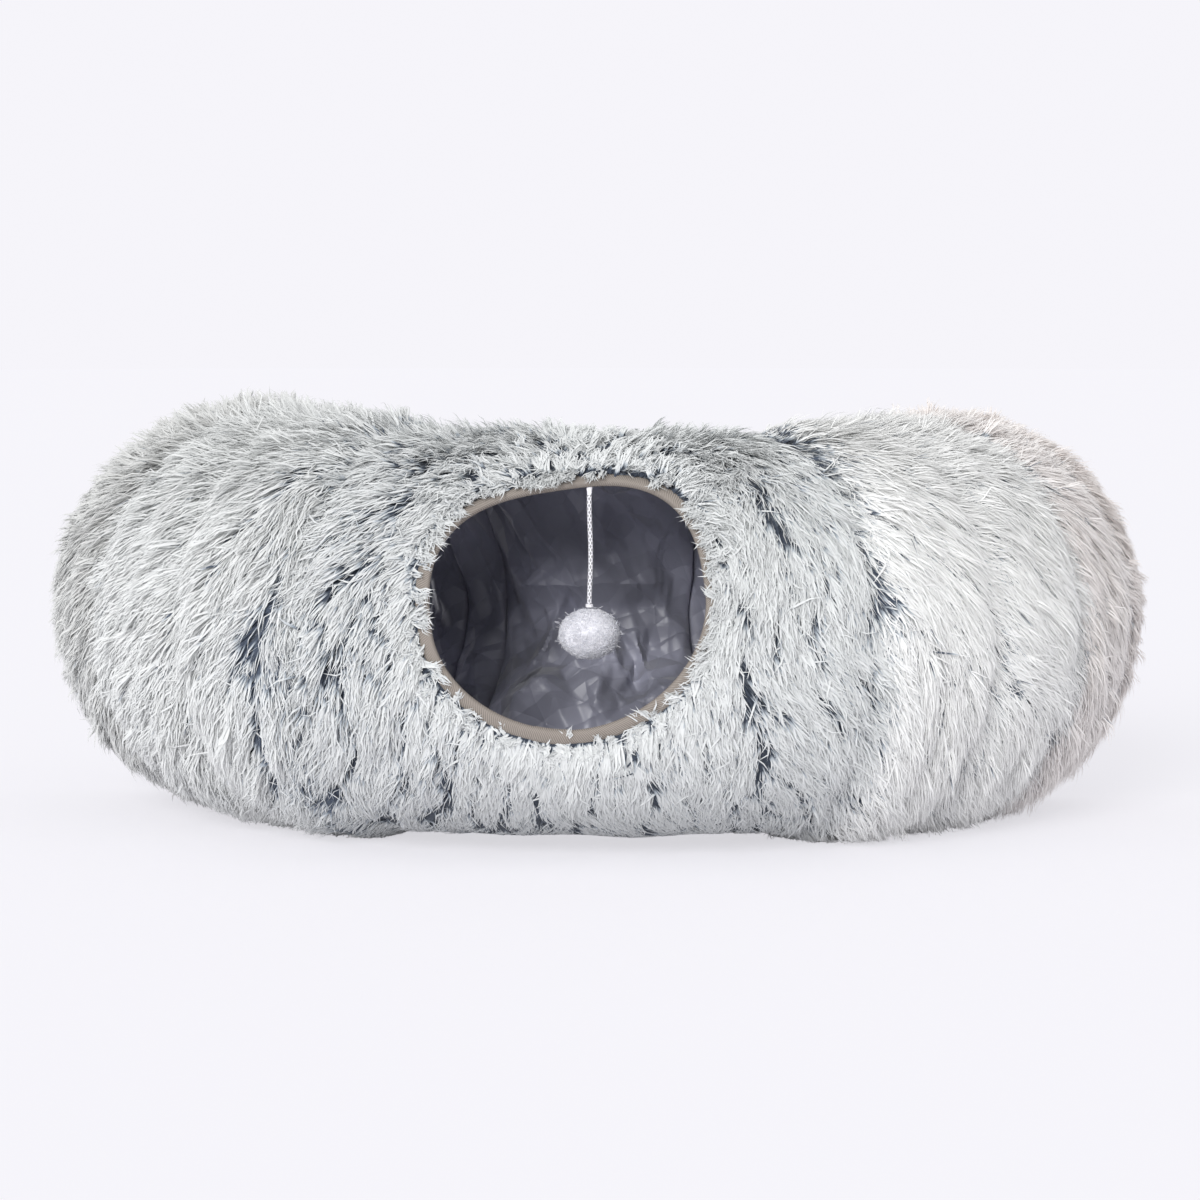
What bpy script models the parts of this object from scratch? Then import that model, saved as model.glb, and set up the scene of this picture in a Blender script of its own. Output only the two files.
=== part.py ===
"""Half-moon plush tunnel for cats, with an oval peephole and a ball that hangs in it.

Metres, +Z up. The tunnel is a tube bent round the vertical axis at the middle section's empty, and it stands
on z = 0 with the origin under the middle of its middle bay. Its convex side, with the peephole, faces -Y.
Both end openings face +Y. An angle along the tunnel is measured round that axis from -Y, and grows towards
+X. An angle round the tube is measured from its outward side, and grows upwards.
"""

import math

import bmesh
import bpy
from mathutils import Matrix, Vector

# The bent tube, and the hoops that hold it open
bend_radius = 0.250
hoop_radius = 0.125
axis_height = 0.140
left_first_hoop_angle = math.radians(27.0)
right_first_hoop_angle = math.radians(31.0)
last_hoop_angle = math.radians(90.0)
bays_in_arm = 4
facets = 24
half_facet = math.pi / facets
seat_gap = 0.0003

# Wire, its crimped ferrule, and the tape over each seam
wire_radius = 0.0010
wire_sides = 5
ferrule_wall = 0.0007
ferrule_length = 0.010
ferrule_sides = 8
ferrule_facet = facets // 2
tape_thickness = 0.0008
tape_width = 0.012

# Plush cover: pile included, pinched at each hoop and puffed out between hoops
valley_thickness = 0.0057
arm_puff = 0.0140
middle_puff = 0.0105
middle_sag = 0.0040
lining_thickness = 0.0010

# Place along a bay and height between valley and crest
arm_profile_shares = (
    (0.0, 0.0),
    (0.12, 0.70),
    (0.30, 1.0),
    (0.50, 0.84),
    (0.70, 1.0),
    (0.88, 0.70),
    (1.0, 0.0),
)
middle_profile_shares = (
    (0.0, 0.0),
    (0.05, 0.75),
    (0.11, 0.98),
    (0.19, 0.78),
    (0.27, 1.0),
    (0.38, 1.0),
    (0.50, 1.0),
    (0.62, 1.0),
    (0.75, 1.0),
    (0.85, 0.78),
    (0.91, 0.98),
    (0.96, 0.75),
    (1.0, 0.0),
)
arm_inner_span_count = 2
middle_inner_span_count = 6

# Binding round each end opening
end_binding_width = 0.010
binding_wall = 0.0008

# Peephole, its binding, and the wire in the binding. Its margins reach to the tube's crown and underside.
peephole_width = 0.194
peephole_crown_margin = 0.0142
peephole_floor_margin = 0.0672
peephole_centre_x = 0.0017
peephole_lean = math.radians(8.0)
peephole_upper_power = 2.8
peephole_lower_power = 1.9
peephole_binding_width = 0.0095
peephole_wire_radius = 0.0008
peephole_ferrule_length = 0.008
peephole_chamfer = 0.0010
peephole_steps = 48
peephole_ferrule_step = 34
cutter_outward = 0.030
cutter_inward = 0.016
cutter_cap_reach = 0.060

# Hanging ball
ball_offset = 0.012
cord_radius = 0.0016
cord_knot_radius = 0.0020
cord_knot_clearance = 0.0005
tie_radius = 0.0024
tie_height = 0.0020
tie_sides = 12
pompom_radius = 0.0205
pompom_half_height = 0.0170
pompom_segments = 20
pompom_rings = 12

# The cord's route, from its upper end, as x, y and z
cord_route = (
    (0.0, 0.0, 0.0),
    (0.0, 0.0, -0.0078),
    (0.0002, 0.0, -0.0156),
    (0.0005, 0.0001, -0.0233),
    (0.0008, 0.0001, -0.0311),
    (0.0009, 0.0001, -0.0389),
    (0.0008, 0.0001, -0.0467),
    (0.0005, 0.0, -0.0544),
    (0.0002, 0.0, -0.0622),
    (0.0, 0.0, -0.0700),
)

# Radii that follow from what lies between them
ferrule_radius = wire_radius + seat_gap + ferrule_wall
ferrule_room = (ferrule_radius + seat_gap) / math.cos(half_facet)
plush_inner_radius = hoop_radius + ferrule_room
valley_radius = plush_inner_radius + valley_thickness
casing_inner_radius = hoop_radius - ferrule_room
tape_outer_radius = hoop_radius - wire_radius - seat_gap
tape_inner_radius = tape_outer_radius - tape_thickness
widest_arm_angle = last_hoop_angle - min(left_first_hoop_angle, right_first_hoop_angle)
widest_span_angle = max(
    (left_first_hoop_angle + right_first_hoop_angle) / middle_inner_span_count,
    widest_arm_angle / bays_in_arm / arm_inner_span_count,
)
bend_room = tape_width / 2 * math.tan(widest_span_angle / 2)
lining_outer_radius = tape_inner_radius - seat_gap - bend_room
lining_inner_radius = lining_outer_radius - lining_thickness
rim_radius = (lining_outer_radius + plush_inner_radius) / 2
peephole_height = 2 * rim_radius - peephole_crown_margin - peephole_floor_margin
peephole_rise = (peephole_floor_margin - peephole_crown_margin) / 2
peephole_ferrule_radius = peephole_wire_radius + seat_gap + ferrule_wall
peephole_binding_thickness = 2 * (peephole_ferrule_radius + seat_gap + binding_wall)


def clear_scene():
    for obj in list(bpy.data.objects):
        bpy.data.objects.remove(obj, do_unlink=True)


def make_material(name, colour, roughness, metallic=0.0):
    material = bpy.data.materials.new(name)
    material.use_nodes = True
    shader = material.node_tree.nodes["Principled BSDF"]
    shader.inputs["Base Color"].default_value = (*colour, 1.0)
    shader.inputs["Roughness"].default_value = roughness
    shader.inputs["Metallic"].default_value = metallic
    return material


def add_empty(name, location, parent=None):
    """A bare axis that carries what turns about it. Its location is in its parent's frame."""
    empty = bpy.data.objects.new(name, None)
    bpy.context.scene.collection.objects.link(empty)
    empty.parent = parent
    empty.location = location
    return empty


def add_piece(name, mesh, material, parent, location=(0.0, 0.0, 0.0), turn=0.0):
    piece = bpy.data.objects.new(name, mesh)
    if not mesh.materials:
        mesh.materials.append(material)
    bpy.context.scene.collection.objects.link(piece)
    piece.parent = parent
    piece.location = location
    piece.rotation_euler = (0.0, 0.0, turn)
    return piece


def finish_mesh(bm, name):
    bmesh.ops.recalc_face_normals(bm, faces=bm.faces)
    mesh = bpy.data.meshes.new(name)
    bm.to_mesh(mesh)
    bm.free()
    mesh.shade_smooth()
    mesh.set_sharp_from_angle(angle=math.radians(40))
    return mesh


def skinned(name, rings):
    """A closed body over rings of points, each ring skinned to the next and the last to the first."""
    bm = bmesh.new()
    loops = [[bm.verts.new(point) for point in ring] for ring in rings]
    for loop, following in zip(loops, loops[1:] + loops[:1]):
        skin_between(bm, loop, following)
    return finish_mesh(bm, name)


def skin_between(bm, loop, following):
    """Quads between two closed rings of as many corners, corner to corner."""
    count = len(loop)
    for i in range(count):
        j = (i + 1) % count
        bm.faces.new((loop[i], loop[j], following[j], following[i]))


def circle(radius, along, steps):
    """Points round the Y axis. The first lies on +X."""
    turns = [2 * math.pi * step / steps for step in range(steps)]
    return [Vector((radius * math.cos(a), along, radius * math.sin(a))) for a in turns]


def hoop_place(angle):
    return Vector((bend_radius * math.sin(angle), -bend_radius * math.cos(angle), axis_height))


def tube_direction(angle):
    """The way that the tunnel runs at that angle, towards growing angles."""
    return Vector((math.cos(angle), math.sin(angle), 0.0))


def tube_point(angle, around, radius):
    reach = bend_radius + radius * math.cos(around)
    height = axis_height + radius * math.sin(around)
    return Vector((reach * math.sin(angle), -reach * math.cos(angle), height))


def tube_ring(angle, radius, shift=0.0, sag=0.0):
    """One ring round the tube, moved along it by shift, lowered by sag and pressed flat on the floor."""
    ring = []
    for step in range(facets):
        point = tube_point(angle, 2 * half_facet * step, radius) + shift * tube_direction(angle)
        point.z = max(point.z - sag, 0.0)
        ring.append(point)
    return ring


def bay_rings(start, end, shares, radius_at, start_gap, end_gap, sag_at=lambda height: 0.0):
    """Rings along a bay. Only the end rings are drawn in, by their gaps, so that neighbours stay apart."""
    rings = []
    for share, height in shares:
        shift = start_gap if share == 0.0 else -end_gap if share == 1.0 else 0.0
        angle = start + share * (end - start)
        rings.append(tube_ring(angle, radius_at(height), shift, sag_at(height)))
    return rings


def even_shares(spans):
    return [(i / spans, 0.0) for i in range(spans + 1)]


def plush_mesh(name, start, end, shares, inner_spans, puff, gaps, sag=0.0):
    def outer_radius(height):
        return valley_radius + height * puff

    outer = bay_rings(start, end, shares, outer_radius, *gaps, lambda height: height * sag)
    inner = bay_rings(start, end, even_shares(inner_spans), lambda height: plush_inner_radius, *gaps)
    return skinned(name, outer + inner[::-1])


def lining_mesh(name, start, end, spans, gaps):
    outer = bay_rings(start, end, even_shares(spans), lambda height: lining_outer_radius, *gaps)
    inner = bay_rings(start, end, even_shares(spans), lambda height: lining_inner_radius, *gaps)
    return skinned(name, outer + inner[::-1])


def hoop_mesh():
    """The wire ring, round its own Y axis. Its corners line up with the cover's."""
    turns = [2 * math.pi * side / wire_sides for side in range(wire_sides)]
    rings = [
        circle(hoop_radius + wire_radius * math.cos(a), wire_radius * math.sin(a), facets) for a in turns
    ]
    return skinned("hoop", rings)


def sleeve_mesh(name, length, bore_radius, radius):
    half = length / 2
    profile = ((bore_radius, -half), (radius, -half), (radius, half), (bore_radius, half))
    return skinned(name, [circle(r, along, ferrule_sides) for r, along in profile])


def tape_mesh():
    """A flat band round the inside of the hoop, open over the facet that holds the ferrule."""
    bm = bmesh.new()
    half = tape_width / 2
    corners = (
        (tape_inner_radius, -half),
        (tape_outer_radius, -half),
        (tape_outer_radius, half),
        (tape_inner_radius, half),
    )
    start = 2 * half_facet * (ferrule_facet + 1)
    turned = Matrix.Rotation(-start, 3, "Y")
    section = bm.faces.new([bm.verts.new(turned @ Vector((r, along, 0.0))) for r, along in corners])
    bmesh.ops.spin(
        bm,
        geom=[section, *section.verts, *section.edges],
        cent=(0.0, 0.0, 0.0),
        axis=(0.0, -1.0, 0.0),
        angle=2 * half_facet * (facets - 1),
        steps=facets - 1,
    )
    return finish_mesh(bm, "seam_tape")


def end_binding_mesh():
    """A folded tape round the last hoop, open towards the cover. Its closed side faces +Y."""
    half = end_binding_width / 2
    inner, outer = casing_inner_radius, plush_inner_radius
    profile = (
        (inner - binding_wall, -half),
        (inner, -half),
        (inner, half - binding_wall),
        (outer, half - binding_wall),
        (outer, -half),
        (outer + binding_wall, -half),
        (outer + binding_wall, half),
        (inner - binding_wall, half),
    )
    return skinned("end_binding", [circle(r, along, facets) for r, along in profile])


def rim_outline():
    """The peephole's oval, as closely spaced places across (x) and up (z) from its centre."""
    half_width = (peephole_width - peephole_binding_width) / 2
    half_height = (peephole_height - peephole_binding_width) / 2
    places = []
    samples = 40 * peephole_steps
    for sample in range(samples):
        turn = 2 * math.pi * sample / samples
        across, up = math.cos(turn), math.sin(turn)
        power = 2 / (peephole_upper_power if up > 0 else peephole_lower_power)
        x = half_width * math.copysign(abs(across) ** power, across)
        z = half_height * math.copysign(abs(up) ** power, up)
        places.append(Vector((x, z)))
    return places


def evenly_spaced(places, count):
    """That many points at equal steps along a closed outline."""
    closed = places + places[:1]
    lengths = [(b - a).length for a, b in zip(closed, closed[1:])]
    step = sum(lengths) / count
    spaced, passed, wanted = [], 0.0, 0.0
    for here, there, length in zip(closed, closed[1:], lengths):
        while wanted < passed + length and len(spaced) < count:
            spaced.append(here.lerp(there, (wanted - passed) / length))
            wanted += step
        passed += length
    return spaced


def rim_frames():
    """Centre, outward-from-the-hole direction and surface normal at each step of the peephole's binding."""
    lean = Matrix.Rotation(peephole_lean, 2)
    centres, normals = [], []
    for place in evenly_spaced(rim_outline(), peephole_steps):
        x, up = lean @ place
        x += peephole_centre_x
        rise = peephole_rise + up
        out = math.sqrt(rim_radius**2 - rise**2)
        reach = bend_radius + out
        angle = math.asin(x / reach)
        centres.append(Vector((x, -reach * math.cos(angle), rise + axis_height)))
        flat = Vector((math.sin(angle), -math.cos(angle), 0.0))
        normals.append((flat * out + Vector((0.0, 0.0, rise))).normalized())
    frames = []
    for i, (centre, normal) in enumerate(zip(centres, normals)):
        along = centres[(i + 1) % peephole_steps] - centres[i - 1]
        frames.append((centre, along.cross(normal).normalized(), normal))
    return frames


def rim_ring(frames, across, out):
    """A ring that follows the peephole, offset across the fabric and out of it."""
    return [centre + across * away + out * normal for centre, away, normal in frames]


def binding_profile():
    half_width = peephole_binding_width / 2
    half = peephole_binding_thickness / 2
    inside = half - binding_wall
    floor = -half_width + binding_wall
    return (
        (half_width, -half),
        (half_width, -inside),
        (floor, -inside),
        (floor, inside),
        (half_width, inside),
        (half_width, half),
        (peephole_chamfer - half_width, half),
        (-half_width, half - peephole_chamfer),
        (-half_width, peephole_chamfer - half),
        (peephole_chamfer - half_width, -half),
    )


def peephole_wire_offset():
    return -peephole_binding_width / 2 + binding_wall + seat_gap + peephole_ferrule_radius


def add_peephole(frames, root, materials):
    profile = binding_profile()
    binding = skinned("peephole_binding", [rim_ring(frames, across, out) for across, out in profile])
    add_piece("peephole_binding", binding, materials["binding"], root)
    offset = peephole_wire_offset()
    turns = [2 * math.pi * side / wire_sides for side in range(wire_sides)]
    rings = [
        rim_ring(frames, offset + peephole_wire_radius * math.cos(a), peephole_wire_radius * math.sin(a))
        for a in turns
    ]
    add_piece("peephole_wire", skinned("peephole_wire", rings), materials["steel"], root)
    centre_line = rim_ring(frames, offset, 0.0)
    here = centre_line[peephole_ferrule_step]
    there = centre_line[peephole_ferrule_step + 1]
    bore = peephole_wire_radius + seat_gap
    sleeve = sleeve_mesh("peephole_ferrule", peephole_ferrule_length, bore, peephole_ferrule_radius)
    ferrule = add_piece("peephole_ferrule", sleeve, materials["ferrule"], root, (here + there) / 2)
    ferrule.rotation_euler = (there - here).to_track_quat("Y", "Z").to_euler()


def peephole_cutter(frames, root):
    """A plug that leaves room for the binding. Its sides run square to the fabric."""
    edge = peephole_binding_width / 2 + seat_gap
    beside = peephole_binding_thickness / 2 + seat_gap
    bm = bmesh.new()
    loops = []
    for out in (cutter_outward, beside, -beside, -cutter_inward):
        loops.append([bm.verts.new(point) for point in rim_ring(frames, edge, out)])
    for loop, following in zip(loops, loops[1:]):
        skin_between(bm, loop, following)
    for loop, reach in ((loops[0], cutter_cap_reach), (loops[-1], -cutter_cap_reach)):
        middle = sum((vert.co for vert in loop), Vector()) / len(loop)
        tip = bm.verts.new(middle + Vector((0.0, -reach, 0.0)))
        for i in range(len(loop)):
            bm.faces.new((loop[i - 1], loop[i], tip))
    cutter = bpy.data.objects.new("peephole_cutter", finish_mesh(bm, "peephole_cutter"))
    bpy.context.scene.collection.objects.link(cutter)
    cutter.parent = root
    cutter.hide_render = True
    cutter.display_type = "WIRE"
    return cutter


def cut(piece, cutter):
    modifier = piece.modifiers.new("peephole", "BOOLEAN")
    modifier.operation = "DIFFERENCE"
    modifier.solver = "EXACT"
    modifier.object = cutter


def primitive_mesh(name, make, **sizes):
    bm = bmesh.new()
    make(bm, **sizes)
    return finish_mesh(bm, name)


def knot_place(frames):
    """Just under the binding's lowest corner, where the cord hangs."""
    half_width = peephole_binding_width / 2
    half = peephole_binding_thickness / 2
    upper = [frame for frame in frames if frame[0].z > axis_height + peephole_rise]
    near = sorted(upper, key=lambda frame: abs(frame[0].x - ball_offset))[:2]
    corners = [
        centre - (half_width - peephole_chamfer) * away - half * normal for centre, away, normal in near
    ]
    place = corners[0].lerp(corners[1], (ball_offset - corners[0].x) / (corners[1].x - corners[0].x))
    place.z -= cord_knot_clearance + cord_knot_radius
    return place


def add_ball(frames, root, materials):
    knot = knot_place(frames)
    side_axis = add_empty("ball_side_axis", knot, root)
    front_axis = add_empty("ball_front_axis", (0.0, 0.0, 0.0), side_axis)
    knot_mesh = primitive_mesh(
        "cord_knot", bmesh.ops.create_icosphere, subdivisions=2, radius=cord_knot_radius
    )
    add_piece("cord_knot", knot_mesh, materials["cord"], side_axis)

    top = -cord_knot_radius - seat_gap
    curve = bpy.data.curves.new("ball_cord", "CURVE")
    curve.dimensions = "3D"
    curve.bevel_depth = cord_radius
    curve.bevel_resolution = 2
    curve.use_fill_caps = True
    spline = curve.splines.new("POLY")
    spline.points.add(len(cord_route) - 1)
    for point, (x, y, z) in zip(spline.points, cord_route):
        point.co = (x, y, top + z, 1.0)
    add_piece("ball_cord", curve, materials["cord"], front_axis)

    tie_top = top + cord_route[-1][2] - seat_gap
    tie = primitive_mesh(
        "pompom_tie",
        bmesh.ops.create_cone,
        cap_ends=True,
        segments=tie_sides,
        radius1=tie_radius,
        radius2=tie_radius,
        depth=tie_height,
    )
    add_piece("pompom_tie", tie, materials["cord"], front_axis, (0.0, 0.0, tie_top - tie_height / 2))

    pompom = primitive_mesh(
        "pompom",
        bmesh.ops.create_uvsphere,
        u_segments=pompom_segments,
        v_segments=pompom_rings,
        radius=pompom_radius,
        matrix=Matrix.Diagonal((1.0, 1.0, pompom_half_height / pompom_radius, 1.0)),
    )
    pompom_top = tie_top - tie_height - seat_gap
    add_piece(
        "pompom", pompom, materials["pompom"], front_axis, (0.0, 0.0, pompom_top - pompom_half_height)
    )


def add_hoop(side, number, angle, parent, shared, materials):
    """A wire hoop with its ferrule, and the tape over its seam. The last hoop has the end binding instead."""
    place = hoop_place(angle)
    turn = angle - math.pi / 2
    add_piece(f"hoop_{side}_{number}", shared["hoop"], materials["steel"], parent, place, turn)
    facet_middle = half_facet * (2 * ferrule_facet + 1)
    reach = hoop_radius * math.cos(half_facet)
    on_wire = Vector((reach * math.cos(facet_middle), 0.0, reach * math.sin(facet_middle)))
    turned = Matrix.Rotation(turn, 3, "Z")
    ferrule = add_piece(f"ferrule_{side}_{number}", shared["ferrule"], materials["ferrule"], parent)
    ferrule.location = place + turned @ on_wire
    along_wire = turned @ Matrix.Rotation(-facet_middle, 3, "Y") @ Matrix.Rotation(math.pi / 2, 3, "X")
    ferrule.rotation_euler = along_wire.to_euler()
    if number < bays_in_arm:
        tape = f"seam_tape_{side}_{number}"
        add_piece(tape, shared["tape"], materials["tape"], parent, place, turn)
    else:
        mirrored = turn if side == "right" else turn + math.pi
        add_piece(f"end_binding_{side}", shared["binding"], materials["binding"], parent, place, mirrored)


def build():
    clear_scene()
    materials = {
        "plush": make_material("plush", (0.62, 0.65, 0.67), 0.95),
        "lining": make_material("slate_lining", (0.16, 0.16, 0.20), 0.55),
        "steel": make_material("spring_steel", (0.55, 0.56, 0.58), 0.35, 1.0),
        "ferrule": make_material("crimped_steel", (0.70, 0.70, 0.72), 0.30, 1.0),
        "tape": make_material("woven_tape", (0.20, 0.20, 0.22), 0.85),
        "binding": make_material("beige_binding", (0.33, 0.28, 0.25), 0.85),
        "cord": make_material("white_cord", (0.85, 0.85, 0.88), 0.80),
        "pompom": make_material("white_pompom", (0.85, 0.85, 0.90), 0.95),
    }
    shared = {
        "hoop": hoop_mesh(),
        "ferrule": sleeve_mesh("ferrule", ferrule_length, wire_radius + seat_gap, ferrule_radius),
        "tape": tape_mesh(),
        "binding": end_binding_mesh(),
    }
    root = add_empty("middle_section", (0.0, bend_radius, 0.0))
    seam = seat_gap / 2

    start, end = -left_first_hoop_angle, right_first_hoop_angle
    frames = rim_frames()
    cutter = peephole_cutter(frames, root)
    plush = plush_mesh(
        "plush_mid",
        start,
        end,
        middle_profile_shares,
        middle_inner_span_count,
        middle_puff,
        (seam, seam),
        middle_sag,
    )
    cut(add_piece("plush_mid", plush, materials["plush"], root), cutter)
    lining = lining_mesh("lining_mid", start, end, middle_inner_span_count, (seam, seam))
    cut(add_piece("lining_mid", lining, materials["lining"], root), cutter)
    add_peephole(frames, root, materials)
    add_ball(frames, root, materials)

    sides = (("left", -1, left_first_hoop_angle), ("right", 1, right_first_hoop_angle))
    for side, sign, first_angle in sides:
        step = (last_hoop_angle - first_angle) / bays_in_arm
        add_hoop(side, 0, sign * first_angle, root, shared, materials)
        parent = root
        for number in range(1, bays_in_arm + 1):
            parent = add_empty(f"fold_axis_{side}_{number}", (0.0, 0.0, 0.0), parent)
            near = sign * (first_angle + (number - 1) * step)
            far = near + sign * step
            last = number == bays_in_arm
            far_gap = end_binding_width / 2 + seat_gap if last else seam
            gaps = (sign * seam, sign * far_gap)
            name = f"plush_{side}_{number}"
            mesh = plush_mesh(
                name, near, far, arm_profile_shares, arm_inner_span_count, arm_puff, gaps
            )
            add_piece(name, mesh, materials["plush"], parent)
            name = f"lining_{side}_{number}"
            mesh = lining_mesh(name, near, far, arm_inner_span_count, gaps)
            add_piece(name, mesh, materials["lining"], parent)
            add_hoop(side, number, far, parent, shared, materials)


build()
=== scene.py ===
"""Half-moon plush tunnel for cats: a long-pile cover on wire hoops, a lining, a bound peephole and a pompom.

Laid out as a Blender add-on and run as a script. Metres, +Z up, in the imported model's frame. An angle along
the tunnel is measured round the bend's vertical axis from -Y, and grows towards +X. An angle round the tube
is measured from its outward side, and grows upwards.
"""

import math
from types import SimpleNamespace

import bpy
import numpy as np
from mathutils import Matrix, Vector


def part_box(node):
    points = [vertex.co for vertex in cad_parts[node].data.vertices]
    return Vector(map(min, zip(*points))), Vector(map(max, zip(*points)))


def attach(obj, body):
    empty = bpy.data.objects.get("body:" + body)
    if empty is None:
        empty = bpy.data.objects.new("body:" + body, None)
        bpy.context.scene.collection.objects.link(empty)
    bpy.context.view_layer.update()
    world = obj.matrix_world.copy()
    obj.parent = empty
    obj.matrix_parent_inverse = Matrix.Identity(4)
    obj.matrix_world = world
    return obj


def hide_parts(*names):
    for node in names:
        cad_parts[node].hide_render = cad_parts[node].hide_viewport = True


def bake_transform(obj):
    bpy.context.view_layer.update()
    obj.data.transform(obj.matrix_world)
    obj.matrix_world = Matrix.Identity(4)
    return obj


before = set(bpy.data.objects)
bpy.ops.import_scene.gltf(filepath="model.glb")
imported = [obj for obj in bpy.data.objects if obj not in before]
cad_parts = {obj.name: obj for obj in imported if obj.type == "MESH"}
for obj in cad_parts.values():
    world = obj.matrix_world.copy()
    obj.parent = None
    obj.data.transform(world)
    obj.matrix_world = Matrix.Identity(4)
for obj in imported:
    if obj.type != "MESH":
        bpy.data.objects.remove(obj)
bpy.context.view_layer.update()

bl_info = {
    "name": "Plush Cat Tunnel",
    "version": (1, 0, 0),
    "blender": (4, 5, 0),
    "location": "3D View > Sidebar > Cat Tunnel",
    "description": "Dresses a half-moon play tunnel in long pile, lining, binding and a hanging pompom",
    "category": "Object",
}

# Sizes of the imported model
BEND_RADIUS = 0.250
HOOP_RADIUS = 0.125
AXIS_HEIGHT = 0.140
LEFT_FIRST_HOOP = math.radians(27.0)
RIGHT_FIRST_HOOP = math.radians(31.0)
LAST_HOOP = math.radians(90.0)
BAYS_IN_ARM = 4
COVER_INNER_RADIUS = 0.1273
LINING_OUTER_RADIUS = 0.1221
RIM_RADIUS = 0.1247
BOUND_EDGE_RADIUS = 0.1250
END_BINDING_WIDTH = 0.010
END_BINDING_HALF_THICKNESS = 0.0031

# Where the peephole's tape laps over its own start, from left to right
LAP_START = -0.021
LAP_END = 0.002

# How the cloth is cut and sewn
CLOTH_CLEARANCE = 0.0030
SEAM_DISTANCE = 0.0002
TAPE_SEAM_DISTANCE = 0.00005
CORD_SEAM_DISTANCE = 0.00002
CUT_OUTSIDE_RIM = 0.0015
CUT_EDGE_REACH = 0.012
LINING_HOOP_GAP = 0.0006
LINING_RIM_SLOPE = 0.03
LINING_RIM_RADIUS = RIM_RADIUS - 0.0012
PEEPHOLE_TAPE_WIDTH = 0.024
END_TAPE_WIDTH = 0.028
TWILL_RIBS = 260.0

# How far a wave texture turns in one metre, at a scale of 1
WAVE_TEXTURE_TURN = 20

PEEPHOLE_WIDTH = 0.194
PEEPHOLE_HEIGHT = 0.168
PEEPHOLE_CENTRE_X = 0.0017
PEEPHOLE_CENTRE_HEIGHT = 0.1665
PEEPHOLE_LEAN = math.radians(8.0)
PEEPHOLE_UPPER_POWER = 2.8
PEEPHOLE_LOWER_POWER = 1.9
PEEPHOLE_BINDING_WIDTH = 0.0095
PEEPHOLE_BINDING_HALF_THICKNESS = 0.0029
RIM_HALF_WIDTH = (PEEPHOLE_WIDTH - PEEPHOLE_BINDING_WIDTH) / 2
RIM_HALF_HEIGHT = (PEEPHOLE_HEIGHT - PEEPHOLE_BINDING_WIDTH) / 2

KNOT_PLACE = Vector((0.012, -0.064873, 0.240484))
CORD_TOP = -0.0023
CORD_ROUTE = (
    (0.0, 0.0, 0.0),
    (0.0, 0.0, -0.0078),
    (0.0002, 0.0, -0.0156),
    (0.0005, 0.0001, -0.0233),
    (0.0008, 0.0001, -0.0311),
    (0.0009, 0.0001, -0.0389),
    (0.0008, 0.0001, -0.0467),
    (0.0005, 0.0, -0.0544),
    (0.0002, 0.0, -0.0622),
    (0.0, 0.0, -0.0700),
)

# Large numbers that mix a cell and a seed into one repeatable number
CELL_FACTORS = (73856093, 19349663, 83492791)
SEED_FACTOR = 2654435761
MIXING_FACTOR = 1274126177

# Noise on the cloth: the tube it is read on, and its wavelengths and depth
NOISE_BEND_RADIUS = 0.30
NOISE_TUBE_RADIUS = 0.13
LUMP_WAVELENGTH = 0.045
WARP_WAVELENGTH = 0.05
WARP_DEPTH = 0.008
PATCH_WAVELENGTH = 0.03

# The middle bay sags from this far round the peephole, and from this height up
SAG_RIM_REACH = 0.04
SAG_LOWEST = 0.03

# The lining's long creases: their number, and the shortest and longest, narrowest and widest
MIDDLE_CREASES = 64
ARM_CREASES = 20
CREASE_HALF_LENGTHS = (0.022, 0.060)
CREASE_WIDTHS = (0.006, 0.017)

# The lining's sharpest folds on its far side: both ends as x and z, height and half width
LINING_CREASES = (
    ((0.024, 0.262), (-0.002, 0.196), 0.010, 0.016),
    ((-0.040, 0.172), (0.070, 0.172), 0.012, 0.022),
    ((0.070, 0.172), (0.048, 0.080), 0.016, 0.018),
    ((0.010, 0.128), (0.052, 0.140), 0.008, 0.012),
    ((-0.030, 0.090), (-0.052, 0.040), 0.010, 0.016),
    ((0.015, 0.110), (0.000, 0.045), 0.010, 0.016),
)

# Spacing of the lining's straight creases
LINING_FACETS = (0.130, 0.103, 0.082, 0.064, 0.051, 0.042)

# Braid and sewn end of the cord
BRAID_STRANDS = 4
BRAID_HEIGHT = 0.00022
SEWN_LENGTH = 0.0095
SEWN_SLANT = 0.0028
SEWN_OFFSET = np.array([0.0, 0.0011, 0.0026])

FUZZ_COUNT = 22000
FUZZ_LENGTH = 0.0042
FUZZ_HALF_WIDTH = 0.00016

# The camera, as the photograph was taken
CAMERA_PLACE = Vector((0.1698, -2.4359, 0.3741))
CAMERA_TARGET = Vector((0.0116, 0.05, 0.1607))
CAMERA_LENS = 110.78

# Hidden hardware
STEEL_COLOUR = (0.55, 0.56, 0.58)
SLEEVE_COLOUR = (0.70, 0.70, 0.72)
SEAM_TAPE_COLOUR = (0.20, 0.20, 0.22)

# The studio
FLOOR_RADIUS = 14.0
FLOOR_BRIGHTNESS = 1.055
SKY_COLOUR = (0.98, 0.985, 1.0)
LAMP_PLACE = Vector((-0.55, -2.1, 1.05))
LAMP_TARGET = Vector((0.0, 0.1, 0.1))

# Share of each strand's length at its four points, and its half width there
STRAND_STEPS = np.array([0.0, 0.34, 0.69, 1.0])
STRAND_WIDTH_SHARES = np.array([0.75, 1.0, 0.66])

# A strand's place on its own map
MAP_STRAND_HALF_WIDTH = 0.004
MAP_SIDE_MARGIN = 0.01
MAP_END_MARGIN = 0.005

# How far a clump strays from its even place, in spacings
JITTER = 0.45

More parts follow.
